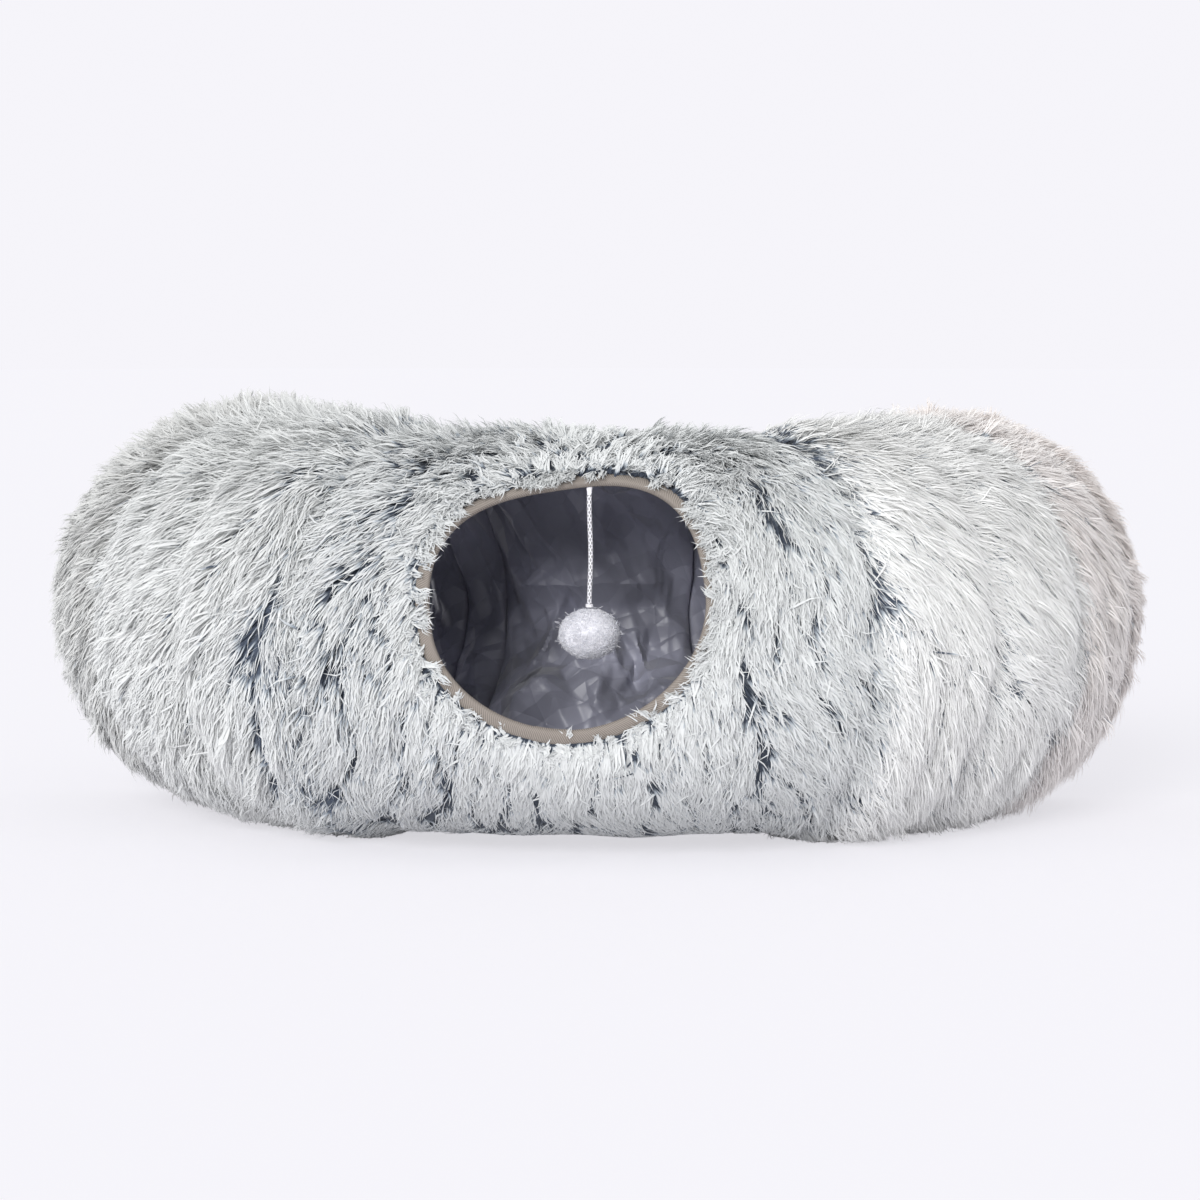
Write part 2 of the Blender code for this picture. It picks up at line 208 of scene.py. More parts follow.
# How the pile lies along the tunnel, by angle along it in degrees
COMB_ANGLES = (-90, -60, -35, -28, -26, -20, -10, 0, 10, 20, 29, 33, 45, 60, 90)
COMB_SHARES = (-0.8, -0.68, -0.62, -0.62, -0.5, -0.45, -0.3, 0.0, 0.12, 0.2, 0.3, 0.6, 0.8, 0.85, 0.85)

# How much the pile parts and shows its dark roots, by the same angle. Its darker colour round the valleys
# beside the middle bay is partly painted shade.
PARTING_ANGLES = (-90, -62, -44, -38, -35, -31, -27, -20, -12, 0, 12, 20, 27, 31, 37, 45, 60, 90)
PARTING_SHARES = (
    0.1, 0.3, 0.35, 0.45, 0.7, 1.15, 1.35, 1.4, 1.35, 0.8, 0.95, 1.1, 1.0, 0.85, 0.3, 0.2, 0.18, 0.1,
)

# How far the pile stands out under the tube, by the angle along it in degrees
FLARE_ANGLES = (-60, -30, -10, 12, 24, 34, 60)
FLARE_SHARES = (0.4, 0.4, 0.05, 0.05, 0.15, 1.0, 1.2)

# Size of the middle bay's locks beside the arms', and how far a lock's edge reaches, in lock sizes
MIDDLE_LOCK_SIZE = 0.75
LOCK_EDGE = 0.35

# Share of the strands that are left out where locks part
PARTING_THINNING = 0.42

# How high the pile stands and how long it is towards the ends, by the same angle
HEIGHT_ANGLES = (-40, -20, 20, 60)
HEIGHT_SHARES = (1.0, 0.72, 0.72, 0.85)
END_ANGLES = (66, 90)
END_SHARES = (1.0, 0.8)

# Where the right arm's sleeker pile starts, and where all of it is sleek
SLEEK_ANGLES = (31, 38)

# Shortest and longest strand over the peephole's rim, beside it, and over an end's hoop, and the rise there
OVERHANG_LENGTHS = (0.010, 0.018)
FRINGE_LENGTHS = (0.007, 0.012)
END_ROW_LENGTHS = (0.009, 0.016)
END_ROW_RISES = (0.0005, 0.006)

# Rows of clumps round the peephole: the hole's mean radius, and their places and unevenness beside its rim
CLUMPED_RIM_RADIUS = 0.09
RIM_COMB_START = 0.004
RIM_ROW_DISTANCES = (0.0043, 0.0058, 0.0076)
RIM_ROW_JITTER = 0.0006

# Strands lie this far off the cloth and the floor, and as deep as this where they lie on the floor
STRAND_CLEARANCE = 0.0006
FLOOR_PILE_DEPTH = 0.003

# How likely the pile hangs over the peephole's binding, by the angle round it in degrees, from the right
OVERHANG_ANGLES = (-180, -165, -150, -25, -12, 30, 45, 88, 94, 110, 117, 140, 150, 172, 180)
OVERHANG_CHANCES = (0.3, 0.2, 0.05, 0.04, 0.6, 0.6, 0.1, 0.1, 0.8, 0.8, 0.15, 0.2, 0.5, 0.4, 0.3)


def hoop_angles():
    """Every hoop's angle along the tunnel, from the left end to the right end."""
    shares = np.linspace(0.0, 1.0, BAYS_IN_ARM + 1)
    left = -(LAST_HOOP + shares * (LEFT_FIRST_HOOP - LAST_HOOP))
    right = RIGHT_FIRST_HOOP + shares * (LAST_HOOP - RIGHT_FIRST_HOOP)
    return np.concatenate([left, right])


HOOPS = hoop_angles()
BAYS = range(len(HOOPS) - 1)
BAY_ANGLES = np.diff(HOOPS)
MIDDLE_BAY = BAYS_IN_ARM


def bay_name(index):
    if index == MIDDLE_BAY:
        return "mid"
    if index < MIDDLE_BAY:
        return f"left_{MIDDLE_BAY - index}"
    return f"right_{index - MIDDLE_BAY}"


def pile_group(index):
    groups = ("left_end",) * 2 + ("left",) * 2 + ("middle",) + ("right",) * 2 + ("right_far", "right_end")
    return groups[index]


def hoop_centre(angle):
    return Vector((BEND_RADIUS * math.sin(angle), BEND_RADIUS * (1 - math.cos(angle)), AXIS_HEIGHT))


def attach_bay(piece, index):
    """The middle bay stays with its body. A bay of an arm keeps its place, baked into its points."""
    if index == MIDDLE_BAY:
        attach(piece, "middle")
        return
    ends = [hoop_centre(HOOPS[index]), hoop_centre(HOOPS[index + 1])]
    if index < MIDDLE_BAY:
        ends.reverse()
    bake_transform(piece)


# Noise and shapes


def lattice_values(cells, seed):
    """A repeatable value between -1 and 1 for each whole-numbered cell."""
    mixed = seed * SEED_FACTOR
    for axis, factor in enumerate(CELL_FACTORS):
        mixed = mixed ^ cells[..., axis] * factor
    mixed = (mixed ^ mixed >> 13) * MIXING_FACTOR
    mixed = mixed ^ mixed >> 16
    return (mixed & 0xFFFFF) / 0x7FFFF - 1.0


def smooth_noise(points, wavelength, seed):
    """Smooth noise between -1 and 1 at each point of an (n, 3) array."""
    cells = points / wavelength
    base = np.floor(cells).astype(np.int64)
    part = cells - base
    part = part * part * (3 - 2 * part)
    total = np.zeros(len(points))
    for corner in range(8):
        step = np.array([corner & 1, corner >> 1 & 1, corner >> 2 & 1])
        share = np.prod(np.where(step == 1, part, 1 - part), axis=1)
        total += share * lattice_values(base + step, seed)
    return total


def clamp(values):
    """Values kept between 0 and 1."""
    return np.clip(values, 0.0, 1.0)


def bump(value, centre, width):
    """A smooth rise, 1 at its centre."""
    return np.exp(-(((value - centre) / width) ** 2))


def tube_place(along, around, radius):
    reach = BEND_RADIUS + radius * np.cos(around)
    x = reach * np.sin(along)
    y = BEND_RADIUS - reach * np.cos(along)
    return np.stack([x, y, AXIS_HEIGHT + radius * np.sin(around)], axis=-1)


def tube_normal(along, around):
    level = np.cos(around)
    return np.stack([level * np.sin(along), -level * np.cos(along), np.sin(around)], axis=-1)


def bay_share(along):
    """Each angle's bay, and its place in that bay from 0 to 1."""
    index = np.clip(np.searchsorted(HOOPS, along, side="right") - 1, 0, BAYS[-1])
    share = (along - HOOPS[index]) / BAY_ANGLES[index]
    return index, clamp(share)


def puff_share(along):
    """Height of the cover between a hoop (0) and its crest (1), with the folds of each bay."""
    index, share = bay_share(along)
    arch = np.sin(np.pi * share)
    arm = np.tanh(2.2 * arch) / math.tanh(2.2) - 0.16 * bump(share, 0.5, 0.09)
    middle = np.tanh(6 * arch) - 0.3 * bump(share, 0.19, 0.03) - 0.3 * bump(share, 0.85, 0.03)
    return np.where(index == MIDDLE_BAY, middle, arm)


def cloth_radius(along, around, sizes):
    """Radius of the cover's cloth, which carries the pile. It runs into the binding round the peephole."""
    index, _share = bay_share(along)
    middle_puff = sizes.middle_puff * np.interp(np.sin(around), (-1.0, -0.4), (0.4, 1.0))
    puff = np.where(index == MIDDLE_BAY, middle_puff, sizes.arm_puff)
    out, rise = np.cos(around) * NOISE_TUBE_RADIUS, np.sin(around) * NOISE_TUBE_RADIUS
    flat_place = np.stack([along * NOISE_BEND_RADIUS, out, rise], axis=-1)
    height = puff_share(along)
    lumps = smooth_noise(flat_place.reshape(-1, 3), LUMP_WAVELENGTH, 11).reshape(along.shape)
    free = COVER_INNER_RADIUS + sizes.cloth_gap + height * (puff + sizes.lumps * lumps)
    places = tube_place(along, around, free)
    rim, _x, _z = hole_distance(places)
    share = clamp((rim - PEEPHOLE_BINDING_WIDTH / 2) / sizes.rim_slope)
    share = np.where(np.cos(around) > 0.0, share * (2 - share), 1.0)
    return BOUND_EDGE_RADIUS + share * (free - BOUND_EDGE_RADIUS)


def settle(points, along, sizes, lowest):
    """Lowers the slack middle bay a little and keeps everything above the floor."""
    index, _share = bay_share(along)
    rim, _x, _z = hole_distance(points)
    loose = np.where(points[..., 1] < 0.0, clamp(rim / SAG_RIM_REACH), 1.0)
    loose *= np.interp(points[..., 2], (SAG_LOWEST, AXIS_HEIGHT), (0.0, 1.0))
    sag = np.where(index == MIDDLE_BAY, sizes.middle_sag * loose * puff_share(along), 0.0)
    points[..., 2] = np.maximum(points[..., 2] - sag, lowest)
    return points


def cloth_place(along, around, sizes, lowest=0.0):
    points = tube_place(along, around, cloth_radius(along, around, sizes))
    return settle(points, along, sizes, lowest)


def long_creases(along, around, count):
    """Height of the long straight creases that a slack sheet takes between its hoops."""
    rng = np.random.default_rng(500 + round(100 * abs(along[0])))
    level, climb = along * BEND_RADIUS, np.mod(around, 2 * np.pi) * LINING_OUTER_RADIUS
    height = np.zeros(len(along))
    for _crease in range(count):
        x0, z0 = rng.uniform(level.min(), level.max()), rng.uniform(0, climb.max())
        turn = rng.normal(math.pi / 2, 0.7)
        half_length, width = rng.uniform(*CREASE_HALF_LENGTHS), rng.uniform(*CREASE_WIDTHS)
        onward = (level - x0) * math.cos(turn) + (climb - z0) * math.sin(turn)
        across = (climb - z0) * math.cos(turn) - (level - x0) * math.sin(turn)
        across = np.where(across < 0, across * rng.uniform(1.0, 2.5), across)
        taper = clamp(1.5 - 1.5 * np.abs(onward) / half_length)
        ridge = clamp(1 - np.abs(across) / width) * taper
        height = np.maximum(height, ridge * width * rng.uniform(0.3, 0.6))
    return height


def crumple(points, wavelengths, seed):
    """Height of a sheet that is creased along crossing straight lines and flat between them."""
    rng = np.random.default_rng(seed)
    height = np.zeros(len(points))
    for wavelength in wavelengths:
        place = points @ unit(rng.normal(0.0, 1.0, 3)) / wavelength + rng.uniform(0.0, 1.0)
        height += wavelength * np.abs(place - np.floor(place) - 0.5)
    return height


def drawn_crease(x, z, start, end, height, width):
    """Height of one sharp fold between two places on the lining, which falls off evenly to its sides."""
    (x0, z0), (x1, z1) = start, end
    step = max(math.hypot(x1 - x0, z1 - z0), 1e-6)
    ahead = np.clip(((x - x0) * (x1 - x0) + (z - z0) * (z1 - z0)) / step, 0, step)
    away = np.hypot(x - x0 - ahead * (x1 - x0) / step, z - z0 - ahead * (z1 - z0) / step)
    return height * clamp(1 - away / width)


def lining_fold(along, around, across, middle, look):
    """How far the slack lining stands in from its hoops: crumpled, and slumped low on the inner side."""
    out, rise = LINING_OUTER_RADIUS * np.cos(around), LINING_OUTER_RADIUS * np.sin(around)
    flat_place = np.stack([along * NOISE_BEND_RADIUS, out, rise], axis=1)
    warp = np.stack([smooth_noise(flat_place, WARP_WAVELENGTH, seed) for seed in (31, 32, 33)], axis=1)
    flat_place = flat_place + WARP_DEPTH * warp
    inner = 0.5 - 0.5 * np.cos(around)
    fold = 0.27 * np.maximum(crumple(flat_place, LINING_FACETS, 7) - 0.05, 0.0)
    fold += long_creases(along, around, MIDDLE_CREASES if middle else ARM_CREASES)
    low = bump(np.mod(around, 2 * np.pi), math.radians(212), math.radians(24))
    fold += look.slump * inner * low * (1.2 + 0.4 * warp[:, 0])
    x, z = (BEND_RADIUS + out) * np.sin(along), AXIS_HEIGHT + rise
    for crease in LINING_CREASES:
        fold += np.where(np.cos(around) < 0.0, drawn_crease(x, z, *crease), 0.0)
    envelope = clamp(np.sin(np.pi * across)) ** (0.35 if middle else 0.5)
    depth = 0.15 + 0.85 * inner if middle else 0.3 + 0.42 * inner
    return envelope * fold * depth * look.slack


# The peephole


def hole_distance(points):
    """Distance outside the binding's middle line, less than 0 inside it, and the way out as x and z."""
    lean = -PEEPHOLE_LEAN
    across, up = points[..., 0] - PEEPHOLE_CENTRE_X, points[..., 2] - PEEPHOLE_CENTRE_HEIGHT
    level = across * math.cos(lean) - up * math.sin(lean)
    rise = across * math.sin(lean) + up * math.cos(lean)
    power = np.where(rise > 0, PEEPHOLE_UPPER_POWER, PEEPHOLE_LOWER_POWER)
    ratio = (np.abs(level) / RIM_HALF_WIDTH) ** power + (np.abs(rise) / RIM_HALF_HEIGHT) ** power
    ratio = np.maximum(ratio, 1e-6) ** (1 / power)
    reach = np.hypot(across, up)
    return reach * (1 - 1 / ratio), across / np.maximum(reach, 1e-6), up / np.maximum(reach, 1e-6)


def rim_outline(samples):
    """Points round the binding's middle line before it leans, as x and z."""
    turn = 2 * np.pi * np.arange(samples) / samples
    across, up = np.cos(turn), np.sin(turn)
    power = 2 / np.where(up > 0, PEEPHOLE_UPPER_POWER, PEEPHOLE_LOWER_POWER)
    x = RIM_HALF_WIDTH * np.copysign(np.abs(across) ** power, across)
    z = RIM_HALF_HEIGHT * np.copysign(np.abs(up) ** power, up)
    return np.stack([x, z], axis=1)


def rim_frames(steps):
    """Centre, way out of the hole, and surface normal, evenly spaced round the peephole's binding."""
    outline = rim_outline(40 * steps)
    closed = np.concatenate([outline, outline[:1]])
    lengths = np.concatenate([[0.0], np.cumsum(np.linalg.norm(np.diff(closed, axis=0), axis=1))])
    wanted = np.linspace(0.0, lengths[-1], steps, endpoint=False)
    level, rise = (np.interp(wanted, lengths, closed[:, axis]) for axis in (0, 1))
    x = level * math.cos(PEEPHOLE_LEAN) - rise * math.sin(PEEPHOLE_LEAN) + PEEPHOLE_CENTRE_X
    up = level * math.sin(PEEPHOLE_LEAN) + rise * math.cos(PEEPHOLE_LEAN)
    up += PEEPHOLE_CENTRE_HEIGHT - AXIS_HEIGHT
    out = np.sqrt(RIM_RADIUS**2 - up**2)
    along = np.arcsin(x / (BEND_RADIUS + out))
    around = np.arctan2(up, out)
    centres = tube_place(along, around, RIM_RADIUS)
    normals = tube_normal(along, around)
    onward = np.roll(centres, -1, axis=0) - np.roll(centres, 1, axis=0)
    away = np.cross(onward, normals)
    away /= np.linalg.norm(away, axis=1)[:, None]
    return centres, away, normals


# Mesh helpers


def deselect():
    if bpy.context.mode != "OBJECT":
        bpy.ops.object.mode_set(mode="OBJECT")
    bpy.ops.object.select_all(action="DESELECT")


def only_select(piece):
    deselect()
    piece.select_set(True)
    bpy.context.view_layer.objects.active = piece


def named(piece, name):
    piece.name = name
    piece.data.name = name
    return piece


def add_aimed(data, place, target):
    """A camera or a lamp that looks from one place to another."""
    aimed = bpy.data.objects.new(data.name, data)
    bpy.context.scene.collection.objects.link(aimed)
    aimed.location = place
    aimed.rotation_euler = (target - place).to_track_quat("-Z", "Y").to_euler()
    return aimed


def add_grid(name, columns, rows):
    """A flat panel of cloth, one metre square, to be laid in place point by point."""
    deselect()
    bpy.ops.mesh.primitive_grid_add(x_subdivisions=columns, y_subdivisions=rows, size=1.0, calc_uvs=True)
    return named(bpy.context.active_object, name)


def read_points(piece):
    points = np.empty(len(piece.data.vertices) * 3)
    piece.data.vertices.foreach_get("co", points)
    return points.reshape(-1, 3)


def grid_shares(piece):
    """Each point's place across and up the flat panel, from 0 to 1."""
    points = read_points(piece) + 0.5
    return points[:, 0], points[:, 1]


def move_points(piece, points):
    piece.data.vertices.foreach_set("co", np.asarray(points, np.float32).ravel())
    piece.data.update()


def start_edit(piece, action):
    """Opens a piece in edit mode, with all or none of it selected."""
    only_select(piece)
    bpy.ops.object.mode_set(mode="EDIT")
    bpy.ops.mesh.select_all(action=action)


def join_edges(piece, distance):
    """Sews together the panel's edges that meet, and turns its faces outwards."""
    start_edit(piece, "SELECT")
    bpy.ops.mesh.remove_doubles(threshold=distance)
    bpy.ops.mesh.normals_make_consistent(inside=False)
    bpy.ops.object.mode_set(mode="OBJECT")


def close_ends(piece):
    """Closes a tube's open ends."""
    start_edit(piece, "DESELECT")
    bpy.ops.mesh.select_non_manifold()
    bpy.ops.mesh.fill_holes(sides=0)
    bpy.ops.mesh.select_all(action="SELECT")
    bpy.ops.mesh.normals_make_consistent(inside=False)
    bpy.ops.object.mode_set(mode="OBJECT")


def cut_hole(piece):
    """Takes out the panel's faces in the peephole."""
    centres = np.empty(len(piece.data.polygons) * 3)
    piece.data.polygons.foreach_get("center", centres)
    centres = centres.reshape(-1, 3)
    away, _x, _z = hole_distance(centres)
    start_edit(piece, "DESELECT")
    bpy.ops.object.mode_set(mode="OBJECT")
    piece.data.polygons.foreach_set("select", (centres[:, 1] < 0.0) & (away < CUT_OUTSIDE_RIM))
    bpy.ops.object.mode_set(mode="EDIT")
    bpy.ops.mesh.delete(type="FACE")
    bpy.ops.object.mode_set(mode="OBJECT")


def trim_edge(piece, radius):
    """Moves the cut edge's points onto a smooth line round the peephole, at that radius of the tube."""
    start_edit(piece, "DESELECT")
    bpy.ops.mesh.select_mode(type="VERT")
    bpy.ops.mesh.select_non_manifold()
    bpy.ops.object.mode_set(mode="OBJECT")
    chosen = np.empty(len(piece.data.vertices), bool)
    piece.data.vertices.foreach_get("select", chosen)
    points = read_points(piece)
    away, out_x, out_z = hole_distance(points)
    chosen &= (points[:, 1] < 0.0) & (np.abs(away) < CUT_EDGE_REACH)
    for _pass in range(4):
        away, out_x, out_z = hole_distance(points)
        step = np.where(chosen, CUT_OUTSIDE_RIM - away, 0.0)
        points[:, 0] += step * out_x
        points[:, 2] += step * out_z
    out = np.sqrt(np.maximum(radius**2 - (points[:, 2] - AXIS_HEIGHT) ** 2, 0.0))
    y = BEND_RADIUS - np.sqrt(np.maximum((BEND_RADIUS + out) ** 2 - points[:, 0] ** 2, 0.0))
    points[:, 1] = np.where(chosen, y, points[:, 1])
    move_points(piece, points)


def thicken(piece, thickness, offset):
    only_select(piece)
    modifier = piece.modifiers.new("thickness", "SOLIDIFY")
    modifier.thickness = thickness
    modifier.offset = offset
    bpy.ops.object.modifier_apply(modifier=modifier.name)


def smooth(piece, angle=math.radians(60)):
    only_select(piece)
    bpy.ops.object.shade_smooth_by_angle(angle=angle)


def stretch_map(piece, size):
    """Scales a panel's own map to its length and width in metres, so that a weave keeps its size."""
    layer = piece.data.uv_layers.active
    places = np.empty(len(layer.uv) * 2)
    layer.uv.foreach_get("vector", places)
    places = places.reshape(-1, 2) * np.array(size)
    layer.uv.foreach_set("vector", places.astype(np.float32).ravel())
    layer.name = "UVMap"


def finish_cord(cord, points, material):
    move_points(cord, points)
    join_edges(cord, CORD_SEAM_DISTANCE)
    close_ends(cord)
    smooth(cord)
    set_material(cord, material)


def finish_tape(tape, points, size, material):
    move_points(tape, points)
    stretch_map(tape, size)
    join_edges(tape, TAPE_SEAM_DISTANCE)
    smooth(tape)
    set_material(tape, material)


def bay_panel(kind, index, middle_steps, arm_steps):
    """A flat panel for one bay, and each point's share across it and angles along and around the tube."""
    panel = add_grid(f"{kind}_{bay_name(index)}", *(middle_steps if index == MIDDLE_BAY else arm_steps))
    across, up = grid_shares(panel)
    return panel, across, HOOPS[index] + across * BAY_ANGLES[index], 2 * np.pi * up


def sew_bay(panel, index, rim_radius, thickness, offset):
    """Sews a bay's panel to a tube, cuts the peephole in the middle one, and gives it its thickness."""
    join_edges(panel, SEAM_DISTANCE)
    if index == MIDDLE_BAY:
        cut_hole(panel)
        trim_edge(panel, rim_radius)
    thicken(panel, thickness, offset)


def set_material(piece, material):
    piece.data.materials.clear()
    piece.data.materials.append(material)


# Materials


def new_material(name):
    material = bpy.data.materials.new(name)
    material.use_nodes = True
    return material, material.node_tree, material.node_tree.nodes["Principled BSDF"]


def feed(tree, node, values):
    """Sets each of a node's inputs to its value, or links it where the value is another node's socket."""
    for name, value in values.items():
        socket = node.inputs[name]
        if isinstance(value, bpy.types.NodeSocket):
            tree.links.new(value, socket)
        elif socket.type == "RGBA":
            socket.default_value = (*value, 1.0)
        else:
            socket.default_value = value


def add_node(tree, kind, values=None, **settings):
    """A new node with its settings and inputs. Gives its outputs."""
    node = tree.nodes.new(f"ShaderNode{kind}")
    for setting, value in settings.items():
        setattr(node, setting, value)
    feed(tree, node, values or {})
    return node.outputs


def add_math(tree, operation, *values):
    return add_node(tree, "Math", dict(enumerate(values)), operation=operation)["Value"]


def add_noise(tree, scale, detail):
    """Noise on Object coordinates."""
    place = add_node(tree, "TexCoord")["Object"]
    return add_node(tree, "TexNoise", {"Vector": place, "Scale": scale, "Detail": detail})["Fac"]


def add_wave(tree, place, turn, values, profile):
    """Evenly spaced bands across a turned place."""
    turned_place = add_node(tree, "Mapping", {"Vector": place, "Rotation": turn})["Vector"]
    return add_node(tree, "TexWave", {"Vector": turned_place, **values}, wave_profile=profile)["Fac"]


def add_bump(tree, height, strength, distance):
    return add_node(tree, "Bump", {"Height": height, "Strength": strength, "Distance": distance})["Normal"]


def add_ramp(tree, share, *stops):
    """The colour at a share from 0 to 1, between (place, colour) stops."""
    node = tree.nodes.new("ShaderNodeValToRGB")
    feed(tree, node, {"Fac": share})
    elements = node.color_ramp.elements
    while len(elements) < len(stops):
        elements.new(1.0)
    for element, (place, colour) in zip(elements, stops):
        element.position = place
        element.color = (*colour, 1.0)
    return node.outputs["Color"]


def own_map(tree, name):
    """The piece's own map, whole and as its two shares."""
    whole = add_node(tree, "UVMap", uv_map=name)["UV"]
    split = add_node(tree, "SeparateXYZ", {"Vector": whole})
    return whole, split["X"], split["Y"]


def shades_of(colour, share):
    return tuple(channel * share for channel in colour)


def pile_material(name, root, middle, tip, warm):
    """Long pile, dark at its roots. It reads each strand's own map: its shade across and its length up."""
    material, tree, shader = new_material(name)
    _whole, across, up = own_map(tree, "OFBake")
    # The tip colours it is given carry painted light on some of the pile's groups
    dyes_and_painted_light = (root, root, middle, shades_of(tip, 0.95), tip)
    dyed = add_ramp(tree, up, *zip((0.0, 0.18, 0.30, 0.44, 1.0), dyes_and_painted_light))
    greys = ((0.76, 0.79, 0.83), (0.92, 0.93, 0.945), (0.975, 0.98, 0.985), warm)
    shade = add_ramp(tree, across, *zip((0.0, 0.3, 0.6, 1.0), greys))
    mixed = add_node(tree, "Mix", {0: 1.0, 6: dyed, 7: shade}, data_type="RGBA", blend_type="MULTIPLY")
    feed(tree, shader, {"Base Color": mixed[2], "Roughness": 0.72, "Specular IOR Level": 0.14})
    feed(tree, shader, {"Sheen Weight": 0.15, "Sheen Roughness": 0.5})
    return material


def cloth_material(name, colour, roughness, thread, contrast, sheen=0.0):
    """Plain woven cloth on Object coordinates: threads both ways, with a little unevenness."""
    material, tree, shader = new_material(name)
    uneven = add_noise(tree, scale=1.0 / (12 * thread), detail=4.0)
    fine = add_noise(tree, scale=1.0 / thread, detail=2.0)
    dark, pale = shades_of(colour, 1 - contrast), shades_of(colour, 1 + contrast)
    feed(tree, shader, {"Base Color": add_ramp(tree, uneven, (0.3, dark), (0.7, pale))})
    feed(tree, shader, {"Normal": add_bump(tree, fine, strength=0.25, distance=thread / 4)})
    feed(tree, shader, {"Roughness": roughness, "Sheen Weight": sheen})
    return material


def crease_lines(tree, spacing, turn, distortion):
    """Straight creases across the cloth, as a height that rises and falls evenly between them."""
    place = add_node(tree, "TexCoord")["Object"]
    scale = 2 * math.pi / WAVE_TEXTURE_TURN / spacing
    values = {"Scale": scale, "Distortion": distortion, "Detail": 1.0, "Detail Scale": 1.5}
    return add_wave(tree, place, turn, values, "TRI")


def lining_material(colour):
    """Thin creased polyester: a slight gloss, crumples, and patches of painted light and shade that stand for
    its lit and shaded facets.
    """
    material, tree, shader = new_material("thin_polyester")
    height = 0.0
    for spacing, turn in (
        (0.060, (0.3, 0.2, 0.5)),
        (0.043, (0.9, 1.2, 0.1)),
        (0.031, (-0.6, 0.7, 1.1)),
        (0.021, (0.2, -1.1, 0.4)),
    ):
        height = add_math(tree, "MULTIPLY_ADD", crease_lines(tree, spacing, turn, 1.3), spacing, height)
    # Painted light and shade: crossing bands make the cloth darker and lighter in patches, for its lit and
    # shaded facets
    one_way = crease_lines(tree, 0.075, (0.5, 0.9, 0.3), 4.0)
    other_way = crease_lines(tree, 0.055, (-0.8, 0.3, 1.4), 4.0)
    painted_facet_light = add_math(tree, "MULTIPLY", one_way, other_way)
    stops = ((0.05, 0.80), (0.20, 0.95), (0.42, 1.05), (0.60, 1.25))
    cloth = add_ramp(tree, painted_facet_light, *((place, shades_of(colour, share)) for place, share in stops))
    creased = add_bump(tree, height, strength=1.0, distance=0.12)
    feed(tree, shader, {"Base Color": cloth, "Normal": creased})
    feed(tree, shader, {"Roughness": 0.40, "Sheen Weight": 0.2})
    return material


def braid_material(name, colour, crossings, length_share):
    """A braided cord on its own map: strands that cross both ways, with painted shade where they pass under.
    """
    material, tree, shader = new_material(name)
    _whole, across, up = own_map(tree, "UVMap")
    waves = []
    for way in (1, -1):
        down = add_math(tree, "MULTIPLY", up, way * 2 * math.pi * length_share)
        turn = add_math(tree, "MULTIPLY_ADD", across, 2 * math.pi * crossings, down)
        waves.append(add_math(tree, "COSINE", turn))
    top = add_math(tree, "MAXIMUM", *waves)
    # Painted shade: the colour falls to a third in the grooves where the strands pass under
    dyes_and_painted_light = (shades_of(colour, 0.3), shades_of(colour, 0.75), colour)
    strands = add_ramp(tree, top, *zip((0.0, 0.45, 0.8), dyes_and_painted_light))
    feed(tree, shader, {"Base Color": strands, "Roughness": 0.8, "Sheen Weight": 0.2})
    return material


def tape_material(name, colour):
    """Twill tape on its own map: fine slanting ribs, with painted light where they stand up and painted shade
    between them.
    """
    material, tree, shader = new_material(name)
    whole, _across, _up = own_map(tree, "UVMap")
    values = {"Scale": TWILL_RIBS, "Distortion": 0.6, "Detail": 2.0, "Detail Scale": 3.0}
    ribs = add_wave(tree, whole, (0.0, 0.0, math.radians(38)), values, "SIN")
    # Painted light and shade: the ribs' tops are lighter and the grooves between them darker
    twill = add_ramp(tree, ribs, (0.15, shades_of(colour, 0.74)), (0.85, shades_of(colour, 1.18)))
    raised = add_bump(tree, ribs, strength=0.6, distance=0.0002)
    feed(tree, shader, {"Base Color": twill, "Normal": raised, "Roughness": 0.85})
    return material


def metal_material(name, colour, roughness, grain):
    """Drawn wire or pressed steel, with fine uneven polish."""
    material, tree, shader = new_material(name)
    polish = add_noise(tree, scale=grain, detail=5.0)
    limits = {"To Min": roughness * 0.7, "To Max": roughness * 1.3}
    spread = add_node(tree, "MapRange", {"Value": polish, **limits})["Result"]
    steel = add_ramp(tree, polish, (0.3, shades_of(colour, 0.85)), (0.7, colour))
    feed(tree, shader, {"Base Color": steel, "Roughness": spread, "Metallic": 1.0})
    return material


def seen_ray(tree):
    """1 for a ray from the camera, or one that a mirror or glass sends on, and 0 for light on the object."""
    path = add_node(tree, "LightPath")
    mirrored = add_math(tree, "MAXIMUM", path["Is Glossy Ray"], path["Is Transmission Ray"])
    return add_math(tree, "MAXIMUM", path["Is Camera Ray"], mirrored)


# Strands


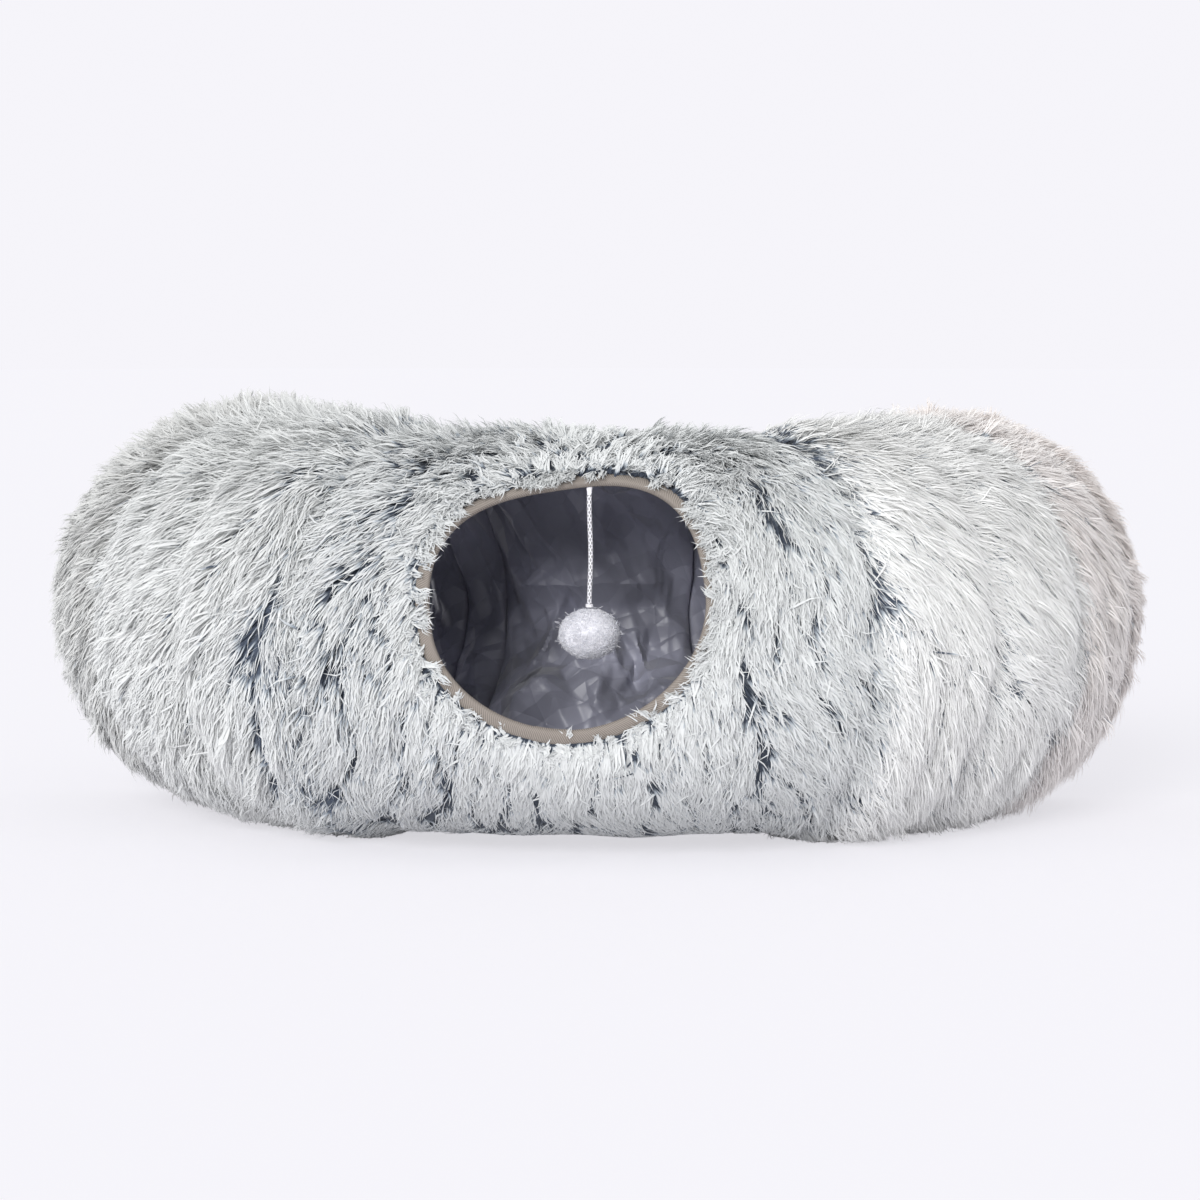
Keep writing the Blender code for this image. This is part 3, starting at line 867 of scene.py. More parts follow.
def strand_mesh(name, lines, sides, half_widths, shades, lengths):
    """Tapered flat strands as one mesh. Lines are four points each, from root to tip."""
    count = len(lines)
    halves = half_widths[:, None] * STRAND_WIDTH_SHARES
    offset = sides[:, None, :] * halves[..., None]
    points = np.empty((count, 7, 3))
    points[:, 0:6:2] = lines[:, :3] - offset
    points[:, 1:6:2] = lines[:, :3] + offset
    points[:, 6] = lines[:, 3]
    corners = np.array([0, 1, 3, 2, 2, 3, 5, 4, 4, 5, 6])
    loops = (corners[None, :] + 7 * np.arange(count)[:, None]).ravel()
    starts = (np.array([0, 4, 8])[None, :] + len(corners) * np.arange(count)[:, None]).ravel()
    mesh = bpy.data.meshes.new(name)
    mesh.vertices.add(count * 7)
    mesh.vertices.foreach_set("co", points.astype(np.float32).ravel())
    mesh.loops.add(len(loops))
    mesh.loops.foreach_set("vertex_index", loops.astype(np.int32))
    mesh.polygons.add(len(starts))
    mesh.polygons.foreach_set("loop_start", starts.astype(np.int32))
    mesh.update(calc_edges=True)
    across = np.array([-1, 1, -1, 1, -1, 1, 0]) * MAP_STRAND_HALF_WIDTH
    map_x = MAP_SIDE_MARGIN + (1 - 2 * MAP_SIDE_MARGIN) * shades[:, None] + across[None, :]
    map_y = np.concatenate([np.repeat(STRAND_STEPS[:3], 2), [1.0]])[None, :] ** lengths[:, None]
    own = np.stack([map_x, MAP_END_MARGIN + (1 - 2 * MAP_END_MARGIN) * map_y], axis=-1)[:, corners]
    layer = mesh.uv_layers.new(name="OFBake")
    layer.uv.foreach_set("vector", own.astype(np.float32).ravel())
    mesh.shade_smooth()
    piece = bpy.data.objects.new(name, mesh)
    bpy.context.scene.collection.objects.link(piece)
    return piece


def unit(vectors):
    return vectors / np.maximum(np.linalg.norm(vectors, axis=-1, keepdims=True), 1e-9)


def turned(vectors, axes, angles):
    """Vectors turned about unit axes, one angle each."""
    cos, sin = np.cos(angles)[:, None], np.sin(angles)[:, None]
    level = np.sum(vectors * axes, axis=1, keepdims=True)
    return vectors * cos + np.cross(axes, vectors) * sin + axes * level * (1 - cos)


def scatter(start, end, spacing, rng):
    """Evenly spread places on one bay of the cover, as angles along and around."""
    radius = COVER_INNER_RADIUS
    rows = round(2 * math.pi * radius / spacing)
    along, around = [], []
    for row in range(rows):
        here = (row + 0.5) / rows * 2 * math.pi - math.pi / 2
        reach = BEND_RADIUS + radius * math.cos(here)
        count = max(1, round((end - start) * reach / spacing))
        along.append(start + (np.arange(count) + 0.5) / count * (end - start))
        around.append(np.full(count, here))
    along, around = np.concatenate(along), np.concatenate(around)
    reach = BEND_RADIUS + radius * np.cos(around)
    along = along + rng.uniform(-JITTER, JITTER, len(along)) * spacing / reach
    around = around + rng.uniform(-JITTER, JITTER, len(around)) * spacing / radius
    along = np.where(along < start, 2 * start - along, along)
    return np.where(along > end, 2 * end - along, along), around


def rim_nearness(places, look):
    """How near each place is to the peephole, from 0 to 1, and the way out of the hole."""
    away, out_x, out_z = hole_distance(places)
    front = places[:, 1] < 0.0
    near = np.where(front, clamp(1 - (away - RIM_COMB_START) / look.rim_reach), 0.0)
    return near, out_x, out_z


def comb(along, around, places, look):
    """The way the pile lies at each place, as an angle from the way along the tunnel."""
    onward = np.interp(np.degrees(along), COMB_ANGLES, COMB_SHARES)
    downward = -np.cos(around)
    near, out_x, out_z = rim_nearness(places, look)
    push = near**1.5 * (0.15 + 1.1 * clamp(out_z) - 0.3 * np.abs(out_x))
    onward, downward = onward + push * out_x, downward + push * out_z
    size = np.hypot(onward, downward)
    wild = smooth_noise(places, look.swirl, 3) * look.swirl_turn
    wild += smooth_noise(places, look.swirl / 3, 5) * look.swirl_turn * 0.5
    return np.arctan2(downward, onward) + wild * (1.0 + 1.2 * np.exp(-3 * size))


def above_peephole(along, around):
    """How far a place is in the short, ruffled stretch between the peephole and the tube's top."""
    return bump(np.degrees(along), 2, 26) * clamp((np.sin(around) - 0.7) / 0.2)


def contrast_share(along, around):
    """How much the pile parts and shows its dark roots there, from 0 to a little over 1. Where it is raised
    at the right arm's seams and in the valleys beside the middle bay, the darker colour is partly painted
    shade.
    """
    angle, height = np.degrees(along), np.sin(around)
    share = np.interp(angle, PARTING_ANGLES, PARTING_SHARES)
    # Partly painted shade: the pile parts more at the right arm's seams and in the valleys beside the middle
    # bay, and its longer dark roots there stand for shade in those hollows
    for seam in HOOPS[MIDDLE_BAY + 2 : -1]:
        share += 0.55 * bump(angle, math.degrees(seam), 2.2)
    share += 0.2 * bump(angle, 30, 3) + 0.3 * bump(angle, -28, 4)
    middle = (angle > -27) & (angle < 31)
    in_arm = np.interp(height, (-0.5, 0.0, 0.4, 1.0), (1.0, 1.0, 0.6, 0.5))
    in_middle = np.interp(height, (-1.0, -0.3, 0.3, 0.7, 0.93, 1.0), (1.0, 1.0, 0.9, 0.8, 0.7, 0.35))
    return share * np.where(middle, in_middle, in_arm) + 0.25 * above_peephole(along, around)


def rim_clumps(look, rng):
    """Clumps in rows beside the peephole's binding, and which of them hang over it."""
    rows = []
    for distance in RIM_ROW_DISTANCES:
        centres, away, _normals = rim_frames(round(2 * math.pi * CLUMPED_RIM_RADIUS / look.rim_spacing))
        places = centres + distance * away + rng.normal(0.0, RIM_ROW_JITTER, centres.shape)
        reach = np.hypot(places[:, 0], BEND_RADIUS - places[:, 1])
        along = np.arctan2(places[:, 0], BEND_RADIUS - places[:, 1])
        around = np.arctan2(places[:, 2] - AXIS_HEIGHT, reach - BEND_RADIUS)
        rows.append(np.stack([along, around], axis=1))
    along, around = np.concatenate(rows).T
    places = tube_place(along, around, RIM_RADIUS)
    _away, out_x, out_z = hole_distance(places)
    chance = np.interp(np.degrees(np.arctan2(out_z, out_x)), OVERHANG_ANGLES, OVERHANG_CHANCES)
    return along, around, rng.uniform(0, 1, len(along)) < chance


def gather_locks(along, around, index, look, sizes, rng):
    """Sorts a bay's clumps into long locks. Gives their lock's heading, offset across it and edge share."""
    size = MIDDLE_LOCK_SIZE if index == MIDDLE_BAY else 1.0
    width, length = size * look.lock_width, size * look.lock_length
    seed_along, seed_around = scatter(HOOPS[index], HOOPS[index + 1], math.sqrt(width * length), rng)
    places = cloth_place(seed_along, seed_around, sizes)
    heading = comb(seed_along, seed_around, places, look) + rng.normal(0.0, look.lock_turn, len(seed_along))
    reach = BEND_RADIUS + COVER_INNER_RADIUS * np.cos(around)
    gap_along = (along[:, None] - seed_along[None, :]) * reach[:, None]
    turn = around[:, None] - seed_around[None, :]
    gap_around = (np.mod(turn + np.pi, 2 * np.pi) - np.pi) * COVER_INNER_RADIUS
    onward = gap_along * np.cos(heading) + gap_around * np.sin(heading)
    across = gap_around * np.cos(heading) - gap_along * np.sin(heading)
    apart = np.hypot(across / width, onward / length)
    lock, other = np.argsort(apart, axis=1)[:, :2].T
    rows = np.arange(len(along))
    edge = clamp((apart[rows, other] - apart[rows, lock]) / LOCK_EDGE)
    return heading[lock], across[rows, lock], edge


def bay_clumps(index, look, sizes, rng):
    """A bay's clumps as angles and places, and which hang over the rim, stand beside it or end the tube."""
    start, end = HOOPS[index], HOOPS[index + 1]
    along, around = scatter(start, end, look.clump_spacing, rng)
    plain = len(along)
    over_rim = np.zeros(0, bool)
    if index == MIDDLE_BAY:
        places = cloth_place(along, around, sizes)
        away, _x, _z = hole_distance(places)
        outside = (away > look.rim_gap) | (places[:, 1] > 0.0)
        plain = outside.sum()
        rim_along, rim_around, over_rim = rim_clumps(look, rng)
        along = np.concatenate([along[outside], rim_along])
        around = np.concatenate([around[outside], rim_around])
    elif index in (BAYS[0], BAYS[-1]):
        row = np.arange(-math.pi, math.pi, look.rim_spacing / HOOP_RADIUS)
        along = np.concatenate([along, np.full(len(row), start if index == 0 else end)])
        around = np.concatenate([around, row])
    places = cloth_place(along, around, sizes)
    added = np.arange(len(along)) >= plain
    rim_row = added & (index == MIDDLE_BAY)
    over = np.zeros(len(along), bool)
    over[len(along) - len(over_rim) :] = over_rim
    return along, around, places, over, rim_row, added & ~rim_row


def lay_clumps(index, look, sizes, rng):
    """A bay's clumps with the way they lie, their rise and length, and how far they part."""
    along, around, places, over, rim_row, end_row = bay_clumps(index, look, sizes, rng)
    count = len(along)
    degrees, climb = np.degrees(along), np.sin(around)
    lock_heading, offset, edge = gather_locks(along, around, index, look, sizes, rng)
    near, out_x, out_z = rim_nearness(places, look)
    ruffled = above_peephole(along, around)
    heading = comb(along, around, places, look) + ruffled * rng.normal(0.0, 0.8, count)
    heading += 0.5 * np.sin(lock_heading - heading) * (1 - near)
    inwards = np.arctan2(-out_z - 0.5, -out_x) + rng.normal(0.0, 0.4, count)
    heading = np.where(over, inwards, heading)
    fringe = rim_row & ~over & (rng.uniform(0, 1, count) < 0.5)
    heading = np.where(fringe, heading + rng.normal(0.0, 1.1, count), heading)
    crown = clamp(climb) ** 3
    shaggy = rng.uniform(0, 1, count) < 0.05 + 0.12 * crown
    lift = look.pile_height * (0.6 + 0.4 * puff_share(along)) * (1 + 0.25 * crown)
    lift *= rng.uniform(0.7, 1.2, count)
    lift *= np.where(shaggy, 1.7, 1.0) * (0.7 + 0.45 * edge) * (1 - 0.25 * near)
    lift *= np.interp(degrees, HEIGHT_ANGLES, HEIGHT_SHARES)
    lift *= 1 - 0.75 * bump(degrees, 29, 7) * clamp(climb)
    length = look.pile_length * rng.uniform(0.85, 1.12, count) * (1 - 0.25 * near)
    length = np.where(over, rng.uniform(*OVERHANG_LENGTHS, count), length * (1 - 0.4 * ruffled))
    length = np.where(fringe, rng.uniform(*FRINGE_LENGTHS, count), length)
    length = np.where(end_row, rng.uniform(*END_ROW_LENGTHS, count), length)
    lift = np.where(end_row, rng.uniform(*END_ROW_RISES, count), lift)
    flare = np.interp(degrees, FLARE_ANGLES, FLARE_SHARES)
    lift *= np.interp(climb, (-0.85, -0.1), (0.0, 1.0)) * (1 - flare) + flare
    length *= np.interp(np.abs(degrees), END_ANGLES, END_SHARES)
    length *= np.interp(np.cos(around), (-1, 0), (0.7, 1))
    return SimpleNamespace(
        along=along,
        around=around,
        places=places,
        heading=heading,
        lift=lift,
        length=length,
        flare=flare,
        near=near,
        ruffled=ruffled,
        offset=offset,
        edge=edge,
        contrast=contrast_share(along, around),
        unruly=1 + 1.2 * (1 - puff_share(along)) + 0.8 * crown,
        sleek=np.interp(degrees, SLEEK_ANGLES, (0.0, 1.0)),
    )


def strand_lines(clumps, each, look, sizes, rng):
    """Four points along every strand, which leaves its own clump and follows the cloth."""
    total = len(each)
    sleek = clumps.sleek[each]
    radius = cloth_radius(clumps.along, clumps.around, sizes)
    reach = BEND_RADIUS + radius * np.cos(clumps.around)
    spread = look.clump_spacing * look.clump_spread
    side_along = rng.uniform(-1, 1, total) * spread
    side_around = rng.uniform(-1, 1, total) * spread
    heading = clumps.heading[each] + rng.normal(0.0, look.stray, total) * clumps.unruly[each]
    heading += np.where(rng.uniform(0, 1, total) < look.loose_share, rng.normal(0.0, 0.6, total), 0.0)
    onward, upward = np.cos(heading)[:, None], np.sin(heading)[:, None]
    length = clumps.length[each] * rng.uniform(0.7, 1.1, total)
    lift = np.minimum(clumps.lift[each] * rng.uniform(0.6, 1.2, total) * (1 - 0.3 * sleek), 0.8 * length)

    steps = STRAND_STEPS[None, :]
    clump_pull = (look.clump_pull * (0.7 + 0.5 * rng.uniform(0, 1, len(clumps.along))))[each]
    gather = 1 - np.clip(clump_pull, 0.0, 0.95)[:, None] * steps**0.8
    drawn = -look.lock_pull * np.minimum(clumps.contrast, 1.0) * clumps.offset * (1 - clumps.near)
    wave = (rng.normal(0.0, look.wave, total) * (1 - 0.5 * sleek))[:, None] * np.sin(2.6 * np.pi * steps)
    ahead = np.sqrt(length**2 - lift**2)[:, None] * steps
    sideways = drawn[each, None] * steps + wave
    go_along = side_along[:, None] * gather + onward * ahead - upward * sideways
    go_around = side_around[:, None] * gather + upward * ahead + onward * sideways
    path_along = clumps.along[each, None] + go_along / reach[each, None]
    beyond = np.maximum(np.abs(path_along) - LAST_HOOP, 0.0)
    path_along -= np.sign(path_along) * (beyond - look.end_overhang * np.tanh(beyond / look.end_overhang))
    path_around = clumps.around[each, None] + go_around / radius[each, None]
    root_radius = radius[each, None]
    cloth_here = cloth_radius(path_along, path_around, sizes)
    rise = lift[:, None] * (1 - (1 - steps) ** 1.8)
    followed = root_radius + 0.8 * (cloth_here - root_radius) + rise
    out = np.maximum(followed, cloth_here + STRAND_CLEARANCE + 0.25 * rise)
    lines = tube_place(path_along, path_around, out)
    lines = settle(lines, np.repeat(clumps.along[each, None], 4, axis=1), sizes, -1.0)
    under = clamp(-np.sin(clumps.around[each]))
    lines[..., 2] -= (under * length * 0.35 * clumps.flare[each])[:, None] * steps**2
    floor = STRAND_CLEARANCE + FLOOR_PILE_DEPTH * rng.uniform(0, 1, total)[:, None] * (1 - 0.6 * steps)
    lines[..., 2] = np.maximum(lines[..., 2], floor)
    return lines


def grow_bay(index, look, sizes, rng):
    """Every strand of one bay: a line of four points, its side, half width, shade and dark root's length."""
    clumps = lay_clumps(index, look, sizes, rng)
    each = np.repeat(np.arange(len(clumps.along)), look.strands_in_clump)
    thinned = 0.5 * (-np.sin(clumps.around[each]) > 0.75)
    parting = PARTING_THINNING * clumps.contrast[each] * (clumps.edge[each] < 0.24)
    each = each[rng.uniform(0, 1, len(each)) > thinned + np.minimum(parting, 0.8)]
    total = len(each)
    lines = strand_lines(clumps, each, look, sizes, rng)

    contrast, edge = clumps.contrast, clumps.edge
    normals = tube_normal(clumps.along[each], clumps.around[each])
    ways = unit(lines[:, 3] - lines[:, 0])
    roll = rng.normal(0.0, 0.4, total) * (0.45 + 0.55 * np.minimum(contrast[each], 1.0))
    sides = turned(unit(np.cross(ways, normals)), ways, roll)
    half_widths = look.strand_width / 2 * rng.uniform(0.6, 1.25, total) * (1 - 0.36 * clumps.sleek[each])
    # Where the pile parts, strands are shaded darker and their dark roots run longer: partly the roots' own
    # dye and partly painted shade in the partings
    patches = 0.45 * contrast**2 * (1 + smooth_noise(clumps.places, PATCH_WAVELENGTH, 21))
    parted = contrast * (1 - edge) ** 1.5 + patches
    shades = 1 - (1 - rng.beta(3.0, 1.4, total)) * (0.3 + 0.5 * contrast[each]) - 0.12 * parted[each]
    dark = look.root_share * (0.45 + 1.1 * parted) * (1 - 0.6 * clumps.near * (1 - clumps.ruffled))
    dark = np.clip(dark, 0.25, 2.2)[each]
    # Painted shade: a few strands are dark almost to their tips, thin dark strokes for the shadows between
    # clumps
    dark = np.where(rng.uniform(0, 1, total) < 0.04 * contrast[each], 2.6, dark)
    tips = lines[:, 3]
    away, _x, _z = hole_distance(tips)
    kept = (away > -look.overhang * rng.uniform(0.3, 1.0, total)) | (tips[:, 1] > 0.0)
    return tuple(part[kept] for part in (lines, sides, half_widths, clamp(shades), dark))


# What a user can change


def number_value(name, default, description, **unit):
    return bpy.props.FloatProperty(name=name, description=description, default=default, **unit)


def length_value(name, default, description):
    return number_value(name, default, description, unit="LENGTH")


def angle_value(name, default, description):
    return number_value(name, default, description, subtype="ANGLE")


def colour_value(name, default, description):
    return bpy.props.FloatVectorProperty(name=name, description=description, default=default, subtype="COLOR")


class CatTunnelCover(bpy.types.PropertyGroup):
    """Sizes of the cover's cloth."""

    cloth_gap: length_value("Cloth gap", 0.0008, "Cloth outside the hoop's wire")
    cloth_thickness: length_value("Cloth", 0.0007, "Thickness of the knitted backing")
    arm_puff: length_value("Arm puff", 0.0085, "Height of a short bay's cloth over its hoops")
    middle_puff: length_value("Middle puff", 0.0060, "Height of the middle bay's cloth over its hoops")
    middle_sag: length_value("Middle sag", 0.0040, "How far the middle bay sinks between its hoops")
    rim_slope: length_value("Rim slope", 0.024, "Distance in which the cloth runs down to the binding")
    lumps: length_value("Lumps", 0.0016, "Unevenness of the cloth")
    cloth_colour: colour_value("Cloth colour", (0.14, 0.16, 0.19), "The dyed backing")


class CatTunnelPile(bpy.types.PropertyGroup):
    """Size, lie and colours of the long pile."""

    pile_length: length_value("Length", 0.031, "Length of a strand")
    pile_height: length_value("Height", 0.0105, "Height that the combed pile reaches")
    strand_width: length_value("Strand", 0.00142, "Width of a strand, a few fibres together")
    clump_spacing: length_value("Clumps", 0.0055, "Distance between clumps")
    clump_spread: number_value("Clump spread", 0.52, "How far a clump's roots spread, in clump spacings")
    strands_in_clump: bpy.props.IntProperty(
        name="Strands", description="Strands in a clump", default=15, min=1
    )
    swirl: length_value("Swirl", 0.06, "Distance over which the lie changes")
    swirl_turn: angle_value("Swirl turn", math.radians(26), "How far the lie changes")
    stray: angle_value("Stray", math.radians(7), "How far a strand strays from its clump")
    loose_share: number_value("Loose strands", 0.045, "Share of the strands that lie their own way")
    wave: length_value("Wave", 0.0014, "How far a strand waves to its sides")
    clump_pull: number_value("Clump pull", 0.82, "How far a clump's tips draw together")
    lock_width: length_value("Lock width", 0.022, "Width of the long locks that part from each other")
    lock_length: length_value("Lock length", 0.070, "Length of those locks")
    lock_turn: angle_value("Lock turn", math.radians(13), "How far locks lie apart in their way")
    lock_pull: number_value("Lock pull", 0.5, "How far a lock's tips draw to its middle")
    rim_reach: length_value("Rim reach", 0.030, "Pile combed away from the peephole")
    rim_gap: length_value("Rim gap", 0.0062, "First roots outside the binding's middle line")
    rim_spacing: length_value("Rim clumps", 0.0028, "Distance between the clumps beside the binding")
    end_overhang: angle_value("End overhang", math.radians(3.2), "How far the pile passes the last hoops")
    overhang: length_value("Overhang", 0.011, "How far the pile hangs over the peephole")
    root_share: number_value("Dark roots", 1.0, "Share of a strand that stays dark, 1 as dyed")
    root_colour: colour_value("Roots", (0.045, 0.055, 0.075), "Colour of the roots")
    middle_colour: colour_value("Middle", (0.42, 0.46, 0.50), "Colour halfway up")
    # Painted light: the right arm's white and warm tips are lighter than the other tips, standing for the
    # light that falls more on the right
    painted_lit_tip_colour: colour_value("White tips", (0.925, 0.925, 0.915), "Tips on the right arm")
    warm_tip_colour: colour_value("Warm tips", (0.93, 0.893, 0.873), "Tips at the far right")
    tip_colour: colour_value("Tips", (0.80, 0.81, 0.805), "Colour of the tips")


class CatTunnelLining(bpy.types.PropertyGroup):
    """Sizes and colour of the lining."""

    thickness: length_value("Cloth", 0.0004, "Thickness of the lining")
    slack: number_value("Slack", 0.8, "How deep its folds are, 1 as sewn")
    slump: length_value("Slump", 0.014, "How far it slumps in low on the inner side")
    colour: colour_value("Colour", (0.315, 0.318, 0.385), "Thin polyester")


class CatTunnelTrim(bpy.types.PropertyGroup):
    """Binding, cord and pompom."""

    tape_colour: colour_value("Binding", (0.29, 0.255, 0.225), "Twill tape")
    cord_diameter: length_value("Cord", 0.0032, "Diameter of the braided cord")
    plait: length_value("Plait", 0.0044, "Length of one turn of the braid")
    cord_colour: colour_value("Cord colour", (0.92, 0.91, 0.95), "Braided polyester")
    pompom_colour: colour_value("Pompom colour", (0.93, 0.925, 0.96), "Soft yarn")


class CatTunnelStage(bpy.types.PropertyGroup):
    """Floor, light and background."""

    floor_colour: colour_value("Floor", (0.95, 0.94, 0.985), "Pale studio floor")
    floor_glow: number_value("Floor glow", 0.66, "Share of the floor's brightness that no shadow takes")
    background: colour_value("Background", (0.92, 0.91, 0.955), "What the camera sees past the floor")
    sky_strength: number_value("Sky", 0.64, "Even light from all round")
    key_power: number_value("Key light", 2.1, "Strength of the large soft lamp")
    key_softness: angle_value("Softness", math.radians(26), "How wide the lamp looks from the tunnel")


# One operator for each piece or group of pieces


class CATTUNNEL_OT_stage(bpy.types.Operator):
    """Set up the camera, the pale floor and the soft studio light"""

    bl_idname = "cattunnel.stage"
    bl_label = "Stage"

    def execute(self, context):
        look = context.scene.cat_tunnel_stage
        camera_data = bpy.data.cameras.new("camera")
        camera_data.lens = CAMERA_LENS
        camera_data.sensor_width = 36.0
        camera_data.clip_end = 50.0
        context.scene.camera = add_aimed(camera_data, CAMERA_PLACE, CAMERA_TARGET)

        deselect()
        bpy.ops.mesh.primitive_circle_add(vertices=96, radius=FLOOR_RADIUS, fill_type="NGON")
        floor = named(context.active_object, "studio_floor")
        material, tree, shader = new_material("studio_floor")
        speckle = add_noise(tree, scale=2.0, detail=2.0)
        shade = add_ramp(tree, speckle, (0.3, shades_of(look.floor_colour, 0.995)), (0.7, look.floor_colour))
        feed(tree, shader, {"Base Color": shade, "Roughness": 0.9, "Specular IOR Level": 0.0})
        pale = add_node(tree, "Emission", {"Color": look.background, "Strength": FLOOR_BRIGHTNESS})
        glow = add_math(tree, "MULTIPLY", seen_ray(tree), look.floor_glow)
        mixed = add_node(tree, "MixShader", {"Fac": glow, 1: shader.outputs["BSDF"], 2: pale["Emission"]})
        feed(tree, tree.nodes["Material Output"], {"Surface": mixed["Shader"]})
        set_material(floor, material)

        world = bpy.data.worlds.new("studio")
        context.scene.world = world
        world.use_nodes = True
        tree = world.node_tree
        even = tree.nodes["Background"]
        feed(tree, even, {"Color": SKY_COLOUR, "Strength": look.sky_strength})
        seen = add_node(tree, "Background", {"Color": look.background})["Background"]
        mixed = add_node(tree, "MixShader", {"Fac": seen_ray(tree), 1: even.outputs["Background"], 2: seen})
        feed(tree, tree.nodes["World Output"], {"Surface": mixed["Shader"]})

        lamp = bpy.data.lights.new("key", "SUN")
        lamp.energy = look.key_power
        lamp.angle = look.key_softness
        add_aimed(lamp, LAMP_PLACE, LAMP_TARGET)
        context.scene.view_settings.view_transform = "Standard"
        return {"FINISHED"}


class CATTUNNEL_OT_cord(bpy.types.Operator):
    """Braid the cord and sew it to the peephole's binding"""

    bl_idname = "cattunnel.cord"
    bl_label = "Cord"

    sides: bpy.props.IntProperty(name="Sides", description="Points round the cord", default=28)
    rings: bpy.props.IntProperty(name="Rings", description="Rings along the cord", default=210)

    def execute(self, context):
        look = context.scene.cat_tunnel_trim
        route = np.array(CORD_ROUTE) + np.array(KNOT_PLACE) + np.array([0.0, 0.0, CORD_TOP])
        lengths = np.concatenate([[0.0], np.cumsum(np.linalg.norm(np.diff(route, axis=0), axis=1))])
        cord = add_grid("braided_cord", self.sides, self.rings)
        across, up = grid_shares(cord)
        turn = 2 * np.pi * across
        down = up * lengths[-1]
        centre = np.stack([np.interp(down, lengths, route[:, axis]) for axis in range(3)], axis=1)
        plaits = lengths[-1] / look.plait
        twist = 2 * np.pi * up * plaits
        raised = np.maximum(np.cos(BRAID_STRANDS * turn + twist), np.cos(BRAID_STRANDS * turn - twist))
        radius = look.cord_diameter / 2 - BRAID_HEIGHT + raised * BRAID_HEIGHT
        ring = np.stack([radius * np.cos(turn), radius * np.sin(turn), np.zeros_like(turn)], axis=1)
        material = braid_material("braided_polyester", look.cord_colour, BRAID_STRANDS, plaits)
        finish_cord(cord, centre + ring, material)
        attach(cord, "hanging_ball")
        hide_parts("ball_cord")
        return {"FINISHED"}


class CATTUNNEL_OT_cord_end(bpy.types.Operator):
    """Flatten the cord's sewn end, which goes up behind the binding"""

    bl_idname = "cattunnel.cord_end"
    bl_label = "Sewn cord end"

    def execute(self, context):
        look = context.scene.cat_tunnel_trim
        sewn = add_grid("sewn_cord_end", 28, 12)
        across, up = grid_shares(sewn)
        turn, rise = 2 * np.pi * across, up - 0.5
        radius = look.cord_diameter / 2 * (1 + 0.12 * np.cos(BRAID_STRANDS * turn + 14 * rise))
        radius *= np.cos(2.6 * rise) ** 0.4
        y = 0.75 * radius * np.sin(turn) + SEWN_SLANT * rise
        points = np.stack([1.1 * radius * np.cos(turn), y, SEWN_LENGTH * rise], axis=1)
        material = cloth_material(
            "sewn_polyester", look.cord_colour, roughness=0.8, thread=0.0004, contrast=0.08, sheen=0.2
        )
        finish_cord(sewn, points + np.array(KNOT_PLACE) + SEWN_OFFSET, material)
        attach(sewn, "cord_top")
        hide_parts("cord_knot")
        return {"FINISHED"}


class CATTUNNEL_OT_cover(bpy.types.Operator):
    """Cut and sew the cover's knitted backing, one panel for each bay"""

    bl_idname = "cattunnel.cover"
    bl_label = "Cover cloth"

    def execute(self, context):
        sizes = context.scene.cat_tunnel_cover
        material = cloth_material(
            "knitted_backing", sizes.cloth_colour, roughness=0.95, thread=0.0012, contrast=0.2
        )
        for index in BAYS:
            cloth, _across, along, around = bay_panel("cover_cloth", index, (112, 160), (22, 96))
            move_points(cloth, cloth_place(along, around, sizes, lowest=CLOTH_CLEARANCE))
            sew_bay(cloth, index, BOUND_EDGE_RADIUS, sizes.cloth_thickness, -1.0)
            smooth(cloth)
            set_material(cloth, material)
            attach_bay(cloth, index)
            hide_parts(f"plush_{bay_name(index)}")
        return {"FINISHED"}


class CATTUNNEL_OT_pile(bpy.types.Operator):
    """Grow the long pile on every bay, combed as it lies in use"""

    bl_idname = "cattunnel.pile"
    bl_label = "Long pile"

    def execute(self, context):
        sizes, look = context.scene.cat_tunnel_cover, context.scene.cat_tunnel_pile
        root, middle = look.root_colour, look.middle_colour
        # Painted light: the tips are painted lighter on the right arm and darker at the left end, for light
        # that falls more on the right than on the left
        piles = {
            group: pile_material(f"frosted_pile_{group}", shades_of(root, pale), middle, tip, warmth)
            for group, pale, tip, warmth in (
                ("left_end", 2.4, shades_of(look.tip_colour, 0.90), (1.0, 0.99, 0.975)),
                ("left", 2.0, look.tip_colour, (1.0, 1.0, 0.995)),
                ("middle", 1.2, shades_of(look.tip_colour, 0.98), (0.99, 1.0, 1.0)),
                ("right", 1.6, look.painted_lit_tip_colour, (1.0, 1.0, 0.995)),
                ("right_far", 2.6, look.warm_tip_colour, (1.0, 1.0, 1.0)),
                ("right_end", 2.6, shades_of(look.warm_tip_colour, 0.97), (1.0, 0.975, 0.96)),
            )
        }
        for index in BAYS:
            rng = np.random.default_rng(100 + index)
            strands = grow_bay(index, look, sizes, rng)
            shares = 4 if index == MIDDLE_BAY else 1
            for number in range(shares):
                name = f"pile_{bay_name(index)}" + (f"_{number + 1}" if shares > 1 else "")
                piece = strand_mesh(name, *(part[number::shares] for part in strands))
                set_material(piece, piles[pile_group(index)])
                attach_bay(piece, index)
        return {"FINISHED"}


